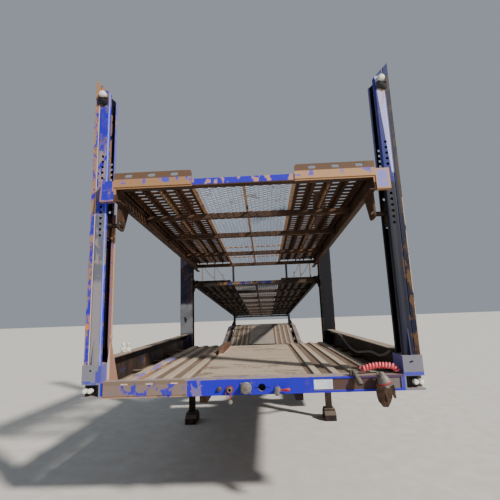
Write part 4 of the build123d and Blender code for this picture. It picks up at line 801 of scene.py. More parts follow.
RED_HOSE = SmoothFinish(
    "red_hose", (0.70, 0.035, 0.060), (0.80, 0.30, 0.32), rough=0.28, grime_share=0.3, coat=0.3)
GREY_HOSE = SmoothFinish("grey_hose", (0.10, 0.098, 0.095), (0.17, 0.14, 0.11), rough=0.6)
STRAP = SmoothFinish("red_strap", (0.26, 0.022, 0.022), (0.13, 0.05, 0.035), rough=0.6)
BLANK_PLATE = SmoothFinish("blank_plate", (0.62, 0.66, 0.70), (0.36, 0.40, 0.46), rough=0.35, grime_share=0.3)
ORANGE_TAG = SmoothFinish("orange_tag", (0.72, 0.20, 0.020), (0.30, 0.12, 0.04), rough=0.45)
SILVER = SmoothFinish(
    "silver_valve", (0.74, 0.73, 0.69), (0.42, 0.38, 0.32), rough=0.35, metal=0.1, grime_share=0.2)
HOLDER = SmoothFinish(
    "lamp_holder_rubber", (0.0016, 0.0016, 0.0017), (0.006, 0.005, 0.0045), rough=0.75, grime_share=0.2)
ROPE = SmoothFinish(
    "wire_rope", (0.085, 0.080, 0.078), (0.12, 0.07, 0.045), rough=0.55, metal=0.4, grain=200.0)
FLOOR = SmoothFinish(
    "studio_floor", (0.62, 0.60, 0.57), (0.58, 0.56, 0.53), rough=0.8, grain=8.0, relief=0.05)

NODE_FINISHES: dict[str, Finish | SmoothFinish] = {
    "front_beam": BEAM, "neck_frame": SILL, "kingpin_plate": GREASY, "neck_tracks": NECK_TRACK,
    "neck_centre_plate": NECK_PLATE, "well_tracks": HUMP_TRACK, "well_crossmembers": UNDERFRAME,
    "axle_ramp": HUMP_TRACK, "hump_centre_plate": HUMP_PLATE, "axle_frame": UNDERFRAME,
    "loading_ramps": STOWED, "rear_beam": MAIN_BEAM, "suspension": IRON, "axles": IRON, "mudguards": PLASTIC,
    "landing_legs": LEG_PAINT, "front_lamps": LENS, "tail_lamps": RED_LENS, "couplings": FITTING_GREY,
    "hanging_coupling": LEATHER, "air_hose_coil": RED_HOSE, "post_pipes": PIPES,
    "front_post_right": POST_RIGHT, "front_post_left": POST_LEFT, "mid_post_right": POST_FAR,
    "mid_post_left": POST_FAR, "rear_post_right": POST_FAR, "rear_post_left": POST_FAR,
    "main_beam_right": MAIN_BEAM, "main_beam_left": MAIN_BEAM, "front_deck_frame": FRONT_DECK_PAINT,
    "front_deck_end_blocks": END_BLOCK, "front_deck_tracks": DECK_RUST, "front_deck_mesh": DECK_RUST,
    "front_deck_rear_carriage": GREASY, "front_deck_front_carriage": GREASY,
    "rear_deck_frame": REAR_DECK_RUST, "rear_deck_tracks": REAR_DECK_RUST, "rear_deck_mesh": REAR_DECK_RUST,
    "rear_deck_stanchions": WORN_STEEL, "rear_deck_rear_carriage": GREASY,
}
WHEEL_PLACES = ("front_left", "front_right", "rear_left", "rear_right")
NODE_FINISHES |= {f"tyres_{place}": RUBBER for place in WHEEL_PLACES}
NODE_FINISHES |= {f"rims_{place}": RIM for place in WHEEL_PLACES}


# ---------------------------------------------------------------- mesh helpers
# Radius at which a turned solid closes round its axis, the angle past which an edge stays sharp, and the
# slant under which a tube counts as upright.
CORE = 0.0005
SHARP_ANGLE = math.radians(38)
UPRIGHT = 1e-4


def linked_object(name: str, data: bpy.types.ID) -> bpy.types.Object:
    """Makes an object in the scene.

    Args:
        name: The object's name.
        data: Its mesh, curve, camera or light.

    Returns:
        The object.
    """
    made = bpy.data.objects.new(name, data)
    bpy.context.scene.collection.objects.link(made)
    return made


def box_into(mesh: bmesh.types.BMesh, x: Span, y: Span, z: Span) -> None:
    """Adds a box between two limits on each axis.

    Args:
        mesh: Mesh that takes the box.
        x: Limits along x.
        y: Limits along y.
        z: Limits along z.
    """
    corners = [mesh.verts.new((a, b, c)) for a in x for b in y for c in z]
    for face in ((0, 1, 3, 2), (4, 6, 7, 5), (0, 4, 5, 1), (2, 3, 7, 6), (0, 2, 6, 4), (1, 5, 7, 3)):
        mesh.faces.new([corners[index] for index in face])


def round_outline(across: float, high: float, count: int) -> list[Span]:
    """Corners evenly round an ellipse.

    Args:
        across: Half its width.
        high: Half its height.
        count: Number of corners.

    Returns:
        The corners, anticlockwise.
    """
    angles = [math.pi * index / (count / 2) for index in range(count)]
    return [(across * math.cos(angle), high * math.sin(angle)) for angle in angles]


def prism_into(mesh: bmesh.types.BMesh, outline: Outline, low: float, high: float,
               place: Callable[[float, float, float], Point]) -> None:
    """Adds a prism over an outline.

    Args:
        mesh: Mesh that takes the prism.
        outline: Corners in the plane of the outline.
        low: Where the prism starts.
        high: Where it ends.
        place: Turns outline coordinates and height into a point.
    """
    first = [mesh.verts.new(place(a, b, low)) for a, b in outline]
    last = [mesh.verts.new(place(a, b, high)) for a, b in outline]
    mesh.faces.new(first)
    mesh.faces.new(list(reversed(last)))
    for index in range(len(outline)):
        after = (index + 1) % len(outline)
        mesh.faces.new((first[after], first[index], last[index], last[after]))


def lathe_into(mesh: bmesh.types.BMesh, profile: Outline, steps: int, centre: Point,
               axis: Axis = Axis.X, shape: Callable[[int, float, float], float] | None = None) -> None:
    """Adds a ring turned from a closed profile of place along the axis and radius.

    Args:
        mesh: Mesh that takes the ring.
        profile: Closed run of (along, radius).
        steps: Parts round the circle.
        centre: Centre of the ring.
        axis: Axis of the turn.
        shape: Changes a radius by step, along and radius.
    """
    rows = []
    for step in range(steps):
        angle = 2 * math.pi * step / steps
        row = []
        for along, radius in profile:
            reach = shape(step, along, radius) if shape else radius
            side, up = reach * math.cos(angle), reach * math.sin(angle)
            offset = {Axis.X: (along, side, up), Axis.Y: (side, along, up), Axis.Z: (side, up, along)}[axis]
            row.append(mesh.verts.new(Vector(centre) + Vector(offset)))
        rows.append(row)
    for step in range(steps):
        here, there = rows[step], rows[(step + 1) % steps]
        for index in range(len(profile)):
            after = (index + 1) % len(profile)
            mesh.faces.new((here[index], there[index], there[after], here[after]))


def finished_mesh(mesh: bmesh.types.BMesh, name: str, bevel: float = 0.0,
                  smooth: bool = False) -> bpy.types.Mesh:
    """Turns a bmesh into a mesh with faces outwards and softened edges.

    Args:
        mesh: The bmesh, which is freed.
        name: Name of the mesh.
        bevel: Width of the softened edges.
        smooth: Whether faces are shaded smooth.

    Returns:
        The mesh.
    """
    bmesh.ops.remove_doubles(mesh, verts=mesh.verts[:], dist=TINY)
    if bevel:
        bmesh.ops.bevel(mesh, geom=mesh.edges[:], offset=bevel, segments=1, affect="EDGES")
    bmesh.ops.recalc_face_normals(mesh, faces=mesh.faces[:])
    made = bpy.data.meshes.new(name)
    mesh.to_mesh(made)
    mesh.free()
    if smooth:
        made.shade_smooth()
        made.set_sharp_from_angle(angle=SHARP_ANGLE)
    return made


def turned_mesh(name: str, profile: Outline, steps: int, foot: Point,
                ahead: Point) -> bpy.types.Mesh:
    """A turned solid that stands on a foot and points ahead.

    Args:
        name: Name of the mesh.
        profile: Closed run of (along, radius).
        steps: Parts round the circle.
        foot: Where the turn's axis starts.
        ahead: Direction of the axis.

    Returns:
        The mesh.
    """
    shape = bmesh.new()
    lathe_into(shape, profile, steps, (0.0, 0.0, 0.0), Axis.Z)
    mesh = finished_mesh(shape, name, smooth=True)
    turn = Vector((0, 0, 1)).rotation_difference(Vector(ahead)).to_matrix().to_4x4()
    mesh.transform(Matrix.Translation(foot) @ turn)
    return mesh


def sheet_into(mesh: bmesh.types.BMesh, columns: int, rows: int, thickness: float,
               place: Callable[[float, float], Point]) -> None:
    """Adds a thick sheet whose points follow a rule.

    Args:
        mesh: Mesh that takes the sheet.
        columns: Parts across.
        rows: Parts down.
        thickness: Thickness along y.
        place: Turns shares across and down into a point.
    """
    layers = []
    for depth in (0.0, thickness):
        layers.append([[mesh.verts.new(Vector(place(i / columns, j / rows)) + Vector((0, depth, 0)))
                        for j in range(rows + 1)] for i in range(columns + 1)])
    front, back = layers
    for i in range(columns):
        for j in range(rows):
            mesh.faces.new((front[i][j], front[i][j + 1], front[i + 1][j + 1], front[i + 1][j]))
            mesh.faces.new((back[i][j], back[i + 1][j], back[i + 1][j + 1], back[i][j + 1]))
    ring = [(i, 0) for i in range(columns)] + [(columns, j) for j in range(rows)]
    ring += [(i, rows) for i in range(columns, 0, -1)] + [(0, j) for j in range(rows, 0, -1)]
    for (i, j), (k, m) in zip(ring, ring[1:] + ring[:1]):
        mesh.faces.new((front[i][j], front[k][m], back[k][m], back[i][j]))


def tube_into(mesh: bmesh.types.BMesh, points: Sequence[Point], radius: float, sides: int) -> None:
    """Adds a closed tube along points.

    Args:
        mesh: Mesh that takes the tube.
        points: The tube's centre line.
        radius: Its radius.
        sides: Sides of its section.
    """
    rows: list[list[bmesh.types.BMVert]] = []
    line = [Vector(point) for point in points]
    up, across = Vector((0.0, 0.0, 1.0)), Vector((1.0, 0.0, 0.0))
    for index, point in enumerate(line):
        ahead = (line[min(index + 1, len(line) - 1)] - line[max(index - 1, 0)]).normalized()
        side = ahead.cross(up)
        side = side.normalized() if side.length > UPRIGHT else across
        high = side.cross(ahead).normalized()
        row = []
        for step in range(sides):
            angle = 2 * math.pi * step / sides
            row.append(mesh.verts.new(point + (side * math.cos(angle) + high * math.sin(angle)) * radius))
        rows.append(row)
    for here, there in zip(rows, rows[1:]):
        for step in range(sides):
            after = (step + 1) % sides
            mesh.faces.new((here[step], here[after], there[after], there[step]))
    mesh.faces.new(list(reversed(rows[0])))
    mesh.faces.new(rows[-1])


def place_piece(name: str, mesh: bpy.types.Mesh, body: str, finish: Finish | SmoothFinish,
                stands_for: Iterable[str] = ()) -> bpy.types.Object:
    """Makes a finished piece that rides on a body.

    Args:
        name: The piece's name.
        mesh: Its mesh, already in place.
        body: Body that carries it.
        finish: Its finish.
        stands_for: CAD nodes that it replaces.

    Returns:
        The piece.
    """
    piece = linked_object(name, mesh)
    mesh.materials.clear()
    mesh.materials.append(PAINT.of(finish))
    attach(piece, body)
    if stands_for:
        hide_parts(*stands_for)
    LOG.info("%s on %s: %d faces", name, body, len(mesh.polygons))
    return piece


# ---------------------------------------------------------------- Geometry Nodes
class GeometryTree:
    """A Geometry Nodes tree with named inputs."""

    def __init__(self, name: str, inputs: dict[str, str]) -> None:
        """Starts a tree.

        Args:
            name: The tree's name.
            inputs: Socket type by input name.
        """
        self.tree = bpy.data.node_groups.new(name, "GeometryNodeTree")
        self.tree.interface.new_socket("Geometry", in_out="INPUT", socket_type="NodeSocketGeometry")
        for key, kind in inputs.items():
            self.tree.interface.new_socket(key, in_out="INPUT", socket_type=kind)
        self.tree.interface.new_socket("Geometry", in_out="OUTPUT", socket_type="NodeSocketGeometry")
        self.start = self.tree.nodes.new("NodeGroupInput")

    def given(self, name: str) -> bpy.types.NodeSocket:
        """The socket of a named input."""
        return self.start.outputs[name]

    def node(self, kind: str, settings: dict, inputs: dict, output: str | int = 0) -> bpy.types.NodeSocket:
        """Adds one node.

        Args:
            kind: The node's type.
            settings: Attributes set first.
            inputs: Values or sockets by name or place.
            output: The output that is wanted.

        Returns:
            The wanted output socket.
        """
        made = self.tree.nodes.new(kind)
        for key, value in settings.items():
            setattr(made, key, value)
        for key, value in inputs.items():
            if isinstance(value, bpy.types.NodeSocket):
                self.tree.links.new(value, made.inputs[key])
            else:
                made.inputs[key].default_value = value
        return made.outputs[output]

    def end(self, instances: bpy.types.NodeSocket, merge: float = 0.0) -> None:
        """Realizes the instances, sets the material and closes the tree.

        Args:
            instances: Geometry to finish.
            merge: Distance within which vertices are joined.
        """
        real = self.node("GeometryNodeRealizeInstances", {}, {0: instances})
        if merge:
            real = self.node("GeometryNodeMergeByDistance", {}, {"Geometry": real, "Distance": merge})
        done = self.node("GeometryNodeSetMaterial", {}, {
            "Geometry": real, "Material": self.given("Material")})
        out = self.tree.nodes.new("NodeGroupOutput")
        self.tree.links.new(done, out.inputs[0])

    def run(self, host: bpy.types.Mesh, values: dict, name: str) -> bpy.types.Mesh:
        """Runs the tree on a mesh.

        Args:
            host: Mesh that the tree starts from.
            values: Values by input name.
            name: Name of the resulting mesh.

        Returns:
            The plain mesh that the tree makes.
        """
        carrier = linked_object(name + "_carrier", host)
        modifier = carrier.modifiers.new("pattern", "NODES")
        modifier.node_group = self.tree
        sockets = {item.name: item.identifier for item in self.tree.interface.items_tree
                   if item.item_type == "SOCKET" and item.in_out == "INPUT"}
        for key, value in values.items():
            modifier[sockets[key]] = value
        bpy.context.view_layer.update()
        shown = carrier.evaluated_get(bpy.context.evaluated_depsgraph_get())
        mesh = bpy.data.meshes.new_from_object(shown)
        mesh.name = name
        carrier.modifiers.remove(modifier)
        bpy.data.objects.remove(carrier)
        return mesh


# Distance within which the cells of a pattern grow together.
SEAM = 0.00005


class PatternKit:
    """Geometry Nodes trees for rows, points and rings of like shapes."""

    def __init__(self) -> None:
        """Builds the three trees."""
        shared = {"Cell": "NodeSocketObject", "Material": "NodeSocketMaterial"}
        self.rows = GeometryTree("rows_and_columns", {
            **shared, "Columns": "NodeSocketInt", "Rows": "NodeSocketInt", "Across": "NodeSocketFloat",
            "Along": "NodeSocketFloat"})
        grid = self.rows.node("GeometryNodeMeshGrid", {}, {
            "Size X": self.rows.given("Across"), "Size Y": self.rows.given("Along"),
            "Vertices X": self.rows.given("Columns"), "Vertices Y": self.rows.given("Rows")})
        self.spread(self.rows, grid, SEAM)
        self.points = GeometryTree("set_on_points", dict(shared))
        self.spread(self.points, self.points.given("Geometry"), 0.0)
        self.ring = GeometryTree("ring_of_shapes", {
            **shared, "Count": "NodeSocketInt", "Radius": "NodeSocketFloat"})
        circle = self.ring.node("GeometryNodeMeshCircle", {}, {
            "Vertices": self.ring.given("Count"), "Radius": self.ring.given("Radius")})
        self.spread(self.ring, circle, 0.0)

    @staticmethod
    def spread(tree: GeometryTree, points: bpy.types.NodeSocket, merge: float) -> None:
        """Sets the cell on every point and closes the tree.

        Args:
            tree: The tree.
            points: Geometry whose points take the cell.
            merge: Distance within which vertices are joined.
        """
        cell = tree.node("GeometryNodeObjectInfo", {}, {"Object": tree.given("Cell")}, "Geometry")
        placed = tree.node("GeometryNodeInstanceOnPoints", {}, {"Points": points, "Instance": cell})
        tree.end(placed, merge)

    @staticmethod
    def run(tree: GeometryTree, cell: bpy.types.Mesh, name: str, finish: Finish | SmoothFinish,
            points: Sequence[Point] = ((0.0, 0.0, 0.0),), **values: float) -> bpy.types.Mesh:
        """Runs one of the trees with a cell.

        Args:
            tree: The tree.
            cell: Mesh that is repeated.
            name: Name of the result.
            finish: Finish of the result.
            points: Points that the cell is set on, where the tree uses them.
            values: The tree's further inputs, by name.

        Returns:
            The mesh of all the repeats.
        """
        holder = linked_object(name + "_cell", cell)
        host = bpy.data.meshes.new(name + "_points")
        host.from_pydata([tuple(point) for point in points], [], [])
        made = tree.run(host, {"Cell": holder, "Material": PAINT.of(finish), **values}, name)
        bpy.data.objects.remove(holder)
        return made


KIT = PatternKit()


def join_meshes(name: str, meshes: Sequence[bpy.types.Mesh]) -> bpy.types.Mesh:
    """One mesh from several.

    Args:
        name: Name of the result.
        meshes: Meshes in place.

    Returns:
        The joined mesh.
    """
    joined = bmesh.new()
    for mesh in meshes:
        joined.from_mesh(mesh)
    made = bpy.data.meshes.new(name)
    joined.to_mesh(made)
    joined.free()
    return made


def place_parts(name: str, parts: Sequence[bpy.types.Mesh], finish: Finish | SmoothFinish,
                stands_for: Iterable[str] = ()) -> bpy.types.Object:
    """Joins parts into one piece on the chassis.

    Args:
        name: The piece's name.
        parts: Meshes in place.
        finish: Its finish.
        stands_for: CAD nodes that it replaces.

    Returns:
        The piece.
    """
    return place_piece(name, join_meshes(name, parts), "root", finish, stands_for)


# ---------------------------------------------------------------- upper decks
@dataclass
class UpperDeck:
    """An upper deck's slotted tracks and mesh walkway, drawn level and turned about its pin.

    pin is the hinge's (y, z), slope its turn in degrees, and the bars' depths lie below the walkway's level.
    """

    name: str
    pin: Span
    slope: float
    front: float
    rear: float
    top: float
    sheet: Finish
    mesh: Finish
    track_inner: float = 0.442
    track_outer: float = 1.002
    drop: float = 0.010
    thickness: float = 0.006
    slot_pitch: float = 0.0795
    slot_columns: int = 4
    slot_length: float = 0.070
    slot_width: float = 0.036
    bar_finish: Finish = WALKWAY_BARS
    depth: float = 0.050
    strand: float = 0.0035
    diamond: Span = (0.078, 0.044)
    bars: tuple[float, ...] = ()
    slot_steps: int = 12
    fold: float = 0.003
    rib: float = 0.007
    walk_gap: float = 0.006
    net_margin: float = 0.010
    walk_rise: float = 0.010
    edge_bar: float = 0.030
    middle_bar: float = 0.024
    cross_bar: float = 0.035
    bar_depths: Span = (0.012, 0.002)
    cross_bar_depths: Span = (0.010, 0.003)

    def turned(self) -> Matrix:
        """Matrix that turns the level drawing about the pin so that its front end rises.

        Returns:
            The matrix.
        """
        y, z = self.pin
        about = Matrix.Translation((0, y, z))
        return about @ Matrix.Rotation(math.radians(-self.slope), 4, "X") @ about.inverted()

    def slot_cell(self) -> bpy.types.Mesh:
        """One piece of the track's sheet with its slot.

        Returns:
            The cell's mesh, with open sides that its neighbours close.
        """
        cell = bmesh.new()
        across = (self.track_outer - self.track_inner) / self.slot_columns / 2
        along = self.slot_pitch / 2
        radius = self.slot_width / 2
        straight = self.slot_length / 2 - radius
        hole, frame_line = [], []
        for step in range(self.slot_steps):
            angle = 2 * math.pi * (step + 0.5) / self.slot_steps
            side = 1 if math.cos(angle) > 0 else -1
            hole.append((side * straight + radius * math.cos(angle), radius * math.sin(angle)))
            reach = min(across / max(abs(math.cos(angle)), TINY), along / max(abs(math.sin(angle)), TINY))
            frame_line.append((reach * math.cos(angle), reach * math.sin(angle)))
        for z, flip in ((0.0, False), (-self.thickness, True)):
            inner = [cell.verts.new((x, y, z)) for x, y in hole]
            outer = [cell.verts.new((x, y, z)) for x, y in frame_line]
            for step in range(self.slot_steps):
                after = (step + 1) % self.slot_steps
                face = [inner[step], outer[step], outer[after], inner[after]]
                first, second = frame_line[step], frame_line[after]
                if abs(first[0] - second[0]) > TINY and abs(first[1] - second[1]) > TINY:
                    corner = (math.copysign(across, first[0] + second[0]),
                              math.copysign(along, first[1] + second[1]))
                    face.insert(2, cell.verts.new((*corner, z)))
                cell.faces.new(list(reversed(face)) if flip else face)
        cell.verts.ensure_lookup_table()
        per_side = len(cell.verts) // 2
        for step in range(self.slot_steps):
            after = (step + 1) % self.slot_steps
            cell.faces.new((cell.verts[step], cell.verts[after], cell.verts[per_side + after],
                            cell.verts[per_side + step]))
        made = bpy.data.meshes.new(self.name + "_slot_cell")
        cell.to_mesh(made)
        cell.free()
        return made

    def diamond_cell(self) -> bpy.types.Mesh:
        """One crossing of the expanded metal, four half strands.

        Returns:
            The cell's mesh.
        """
        cell = bmesh.new()
        half_x, half_y = self.diamond[0] / 2, self.diamond[1] / 2
        width, high = self.strand / 2, self.strand * 0.9  # A strand is a little thinner than it is wide.
        for x, y in ((half_x, half_y), (-half_x, half_y), (-half_x, -half_y), (half_x, -half_y)):
            line = Vector((x, y, 0))
            side = Vector((-line.y, line.x, 0)).normalized() * width
            rows = []
            for end in (Vector((0, 0, 0)), line):
                rows.append([cell.verts.new(end + side * a + Vector((0, 0, high * b)))
                             for a, b in ((-1, -0.5), (1, -0.5), (1, 0.5), (-1, 0.5))])
            for index in range(4):
                after = (index + 1) % 4
                cell.faces.new((rows[0][index], rows[1][index], rows[1][after], rows[0][after]))
        bmesh.ops.recalc_face_normals(cell, faces=cell.faces[:])
        made = bpy.data.meshes.new(self.name + "_diamond_cell")
        cell.to_mesh(made)
        cell.free()
        return made

    def tracks(self) -> bpy.types.Object:
        """The pair of slotted tracks with their folded edges and ribs.

        Returns:
            The tracks, which stand for the CAD's own.
        """
        rows = int((self.rear - self.front) // self.slot_pitch)
        width = self.track_outer - self.track_inner
        pitch = width / self.slot_columns
        sheet = KIT.run(KIT.rows, self.slot_cell(), self.name + "_sheet", self.sheet, Rows=rows,
                        Columns=self.slot_columns, Across=width - pitch, Along=(rows - 1) * self.slot_pitch)
        middle_x, middle_y = (self.track_inner + self.track_outer) / 2, (self.front + self.rear) / 2
        level = self.top - self.drop
        right = sheet.copy()
        right.transform(Matrix.Translation((middle_x, middle_y, level)))
        sheet.transform(Matrix.Translation((-middle_x, middle_y, level)))
        ribs = bmesh.new()
        low, high = self.top - self.depth, level - self.thickness
        end_gap = (self.rear - self.front - rows * self.slot_pitch) / 2
        fold = self.fold
        places = ((self.track_inner + fold, fold), (self.track_outer - fold, fold), (middle_x, self.rib),
                  (middle_x - pitch, fold), (middle_x + pitch, fold))
        for side in (-1, 1):
            for x, half in places:
                edge = sorted((side * (x - half), side * (x + half)))
                box_into(ribs, (edge[0], edge[1]), (self.front, self.rear), (low, high))
            span = sorted((side * self.track_inner, side * self.track_outer))
            for y0, y1 in ((self.front, self.front + end_gap), (self.rear - end_gap, self.rear)):
                box_into(ribs, (span[0], span[1]), (y0, y1), (high, level))
        joined = join_meshes(self.name + "_tracks", [sheet, right, finished_mesh(ribs, "ribs")])
        joined.transform(self.turned())
        return place_piece(f"{self.name}_slotted_tracks", joined, self.name, self.sheet,
                           [f"{self.name}_tracks"])

    def walkway(self) -> list[bpy.types.Object]:
        """The expanded metal walkway and the bars that carry it.

        Returns:
            The expanded metal and its bars.
        """
        half = self.track_inner - self.walk_gap
        edge, middle = self.edge_bar, self.middle_bar / 2
        wide, long = self.diamond
        columns = int(2 * (half - self.net_margin) // wide)
        rows = int((self.rear - self.front - 2 * self.net_margin) // long)
        net = KIT.run(KIT.rows, self.diamond_cell(), self.name + "_net", self.mesh, Columns=columns,
                      Rows=rows, Across=(columns - 1) * wide, Along=(rows - 1) * long)
        level = self.top - self.depth + self.walk_rise
        net.transform(Matrix.Translation((0, (self.front + self.rear) / 2, level)))
        net.transform(self.turned())
        pieces = [place_piece(f"{self.name}_expanded_metal", net, self.name, self.mesh,
                              [f"{self.name}_mesh"])]
        bars = bmesh.new()
        low, high = (level - depth for depth in self.bar_depths)
        for x0, x1 in ((-half, -half + edge), (half - edge, half), (-middle, middle)):
            box_into(bars, (x0, x1), (self.front, self.rear), (low, high))
        low, high = (level - depth for depth in self.cross_bar_depths)
        for y in self.bars:
            box_into(bars, (-half + edge, half - edge), (y, y + self.cross_bar), (low, high))
        frame_mesh = finished_mesh(bars, self.name + "_walkway_bars")
        frame_mesh.transform(self.turned())
        pieces.append(place_piece(f"{self.name}_walkway_bars", frame_mesh, self.name,
                                  self.bar_finish))
        return pieces

    def build(self) -> list[bpy.types.Object]:
        """All of the deck's fine pieces."""
        return [self.tracks(), *self.walkway()]


@dataclass
class SafetyRopes:
    """Wire ropes along the sides of the rear deck, with a small sag between its stanchions."""

    stanchions: tuple[float, ...] = (-2.3, -0.6, 1.1, 2.8, 4.5)
    rail_x: float = 1.032
    foot: float = 2.18
    heights: tuple[float, ...] = (0.45, 0.83)
    sag: float = 0.045
    radius: float = 0.0055
    clear: float = 0.0185
    clip: Outline = ((-0.02, 0.006), (0.02, 0.006), (0.02, 0.011), (-0.02, 0.011))
    span_steps: int = 8
    turn: Matrix = field(default_factory=Matrix)

    def line(self, height: float) -> list[Point]:
        """Points of one rope, which sags a little between its stanchions.

        Args:
            height: Height of the rope over the stanchions' feet.

        Returns:
            Points from the first stanchion to the last.
        """
        points: list[Point] = []
        for near, far in zip(self.stanchions, self.stanchions[1:]):
            for step in range(self.span_steps):
                share = step / self.span_steps
                drop = self.sag * 4 * share * (1 - share)
                points.append((0.0, near + (far - near) * share, self.foot + height - drop))
        points.append((0.0, self.stanchions[-1], self.foot + height))
        return points

    def build(self) -> bpy.types.Object:
        """Makes all the ropes with a clip at each stanchion.

        Returns:
            The ropes.
        """
        ropes = bmesh.new()
        for side in (-1, 1):
            for height in self.heights:
                x = side * (self.rail_x + self.clear)
                tube_into(ropes, [(x, y, z) for _, y, z in self.line(height)], self.radius, 6)
                for y in self.stanchions:
                    lathe_into(ropes, self.clip, 8, (x, y, self.foot + height), Axis.Y)
        mesh = finished_mesh(ropes, "safety_ropes", smooth=True)
        mesh.transform(self.turn)
        return place_piece("safety_ropes", mesh, "rear_deck", ROPE)


# ---------------------------------------------------------------- wheels
@dataclass
class Wheels:
    """Treaded tyres and wheel nuts of the four twin wheels.

    shoulder is where the notches start and how deep they reach; a nut and a stud are a radius and a top.
    """

    axles: tuple[tuple[str, float], ...] = (("front", 4.15), ("rear", 5.40))
    centre_x: float = 1.012
    twin_pitch: float = 0.285
    radius: float = 0.395
    rim_radius: float = 0.225
    half_width: float = 0.120
    steps: int = 120
    groove: float = 0.009
    groove_places: Span = (0.018, 0.055)
    notch_every: int = 4
    shoulder: Span = (0.062, 0.012)
    nut_count: int = 10
    nut_circle: float = 0.125
    nut: Span = (0.016, 0.018)
    stud: Span = (0.008, 0.032)
    hub_face: float = 0.008

    def profile(self) -> list[Span]:
        """Closed section of a tyre with its ring grooves.

        Returns:
            Closed run of (along, radius).
        """
        right = [(0.0, self.radius)]
        for centre in self.groove_places:
            for shift, depth in ((-0.005, 0.0), (-0.0035, self.groove), (0.0035, self.groove), (0.005, 0.0)):
                right.append((centre + shift, self.radius - depth))
        right += [(0.088, self.radius - 0.001), (0.100, self.radius - 0.008), (0.108, self.radius - 0.030),
                  (0.1155, 0.340), (self.half_width, 0.300), (0.117, 0.262), (0.104, 0.240),
                  (0.090, self.rim_radius)]
        left = [(-x, r) for x, r in reversed(right[1:])]
        return left + right

    def notch(self, step: int, along: float, radius: float) -> float:
        """Radius of the shoulder, cut by a notch at every fourth step.

        Args:
            step: Step round the tyre.
            along: Place along the axle from the tyre's middle.
            radius: Radius of the section.

        Returns:
            The radius at this step.
        """
        across, drop = self.shoulder
        if step % self.notch_every == 0 and abs(along) > across and radius > self.radius - drop:
            return radius - self.groove * 0.8
        return radius

    def build(self) -> list[bpy.types.Object]:
        """Makes the tyres and nuts of every wheel.

        Returns:
            Tyres and nuts, wheel by wheel.
        """
        made = []
        for place, y in self.axles:
            for side_name, side in (("left", -1), ("right", 1)):
                tyres = bmesh.new()
                for twin in (-0.5, 0.5):
                    centre = (side * self.centre_x + twin * self.twin_pitch, y, self.radius)
                    lathe_into(tyres, self.profile(), self.steps, centre, shape=self.notch)
                mesh = finished_mesh(tyres, f"tread_{place}_{side_name}", smooth=False)
                name = f"{place}_{side_name}"
                made.append(place_piece(f"treaded_tyres_{name}", mesh, f"wheel_{name}", RUBBER,
                                        [f"tyres_{name}"]))
                made.append(self.nuts(name, side, y))
        return made

    def nuts(self, name: str, side: int, y: float) -> bpy.types.Object:
        """Makes a wheel's ring of nuts on studs.

        Args:
            name: Place of the wheel.
            side: -1 on the left, 1 on the right.
            y: The axle's place along the trailer.

        Returns:
            The nuts.
        """
        shape = bmesh.new()
        (nut_radius, nut_top), (stud_radius, stud_top) = self.nut, self.stud
        for radius, count, low, high in ((nut_radius, 6, 0.0, nut_top), (stud_radius, 8, nut_top, stud_top)):
            prism_into(shape, round_outline(radius, radius, count), low, high, lambda a, b, c: (a, b, c))
        cell = finished_mesh(shape, "nut")
        ring = KIT.run(KIT.ring, cell, f"nuts_{name}", WORN_STEEL, Count=self.nut_count,
                       Radius=self.nut_circle)
        ring.transform(Matrix.Rotation(math.radians(90 * side), 4, "Y"))
        ring.transform(Matrix.Translation((side * (self.centre_x + self.hub_face), y, self.radius)))
        return place_piece(f"wheel_nuts_{name}", ring, f"wheel_{name}", WORN_STEEL)


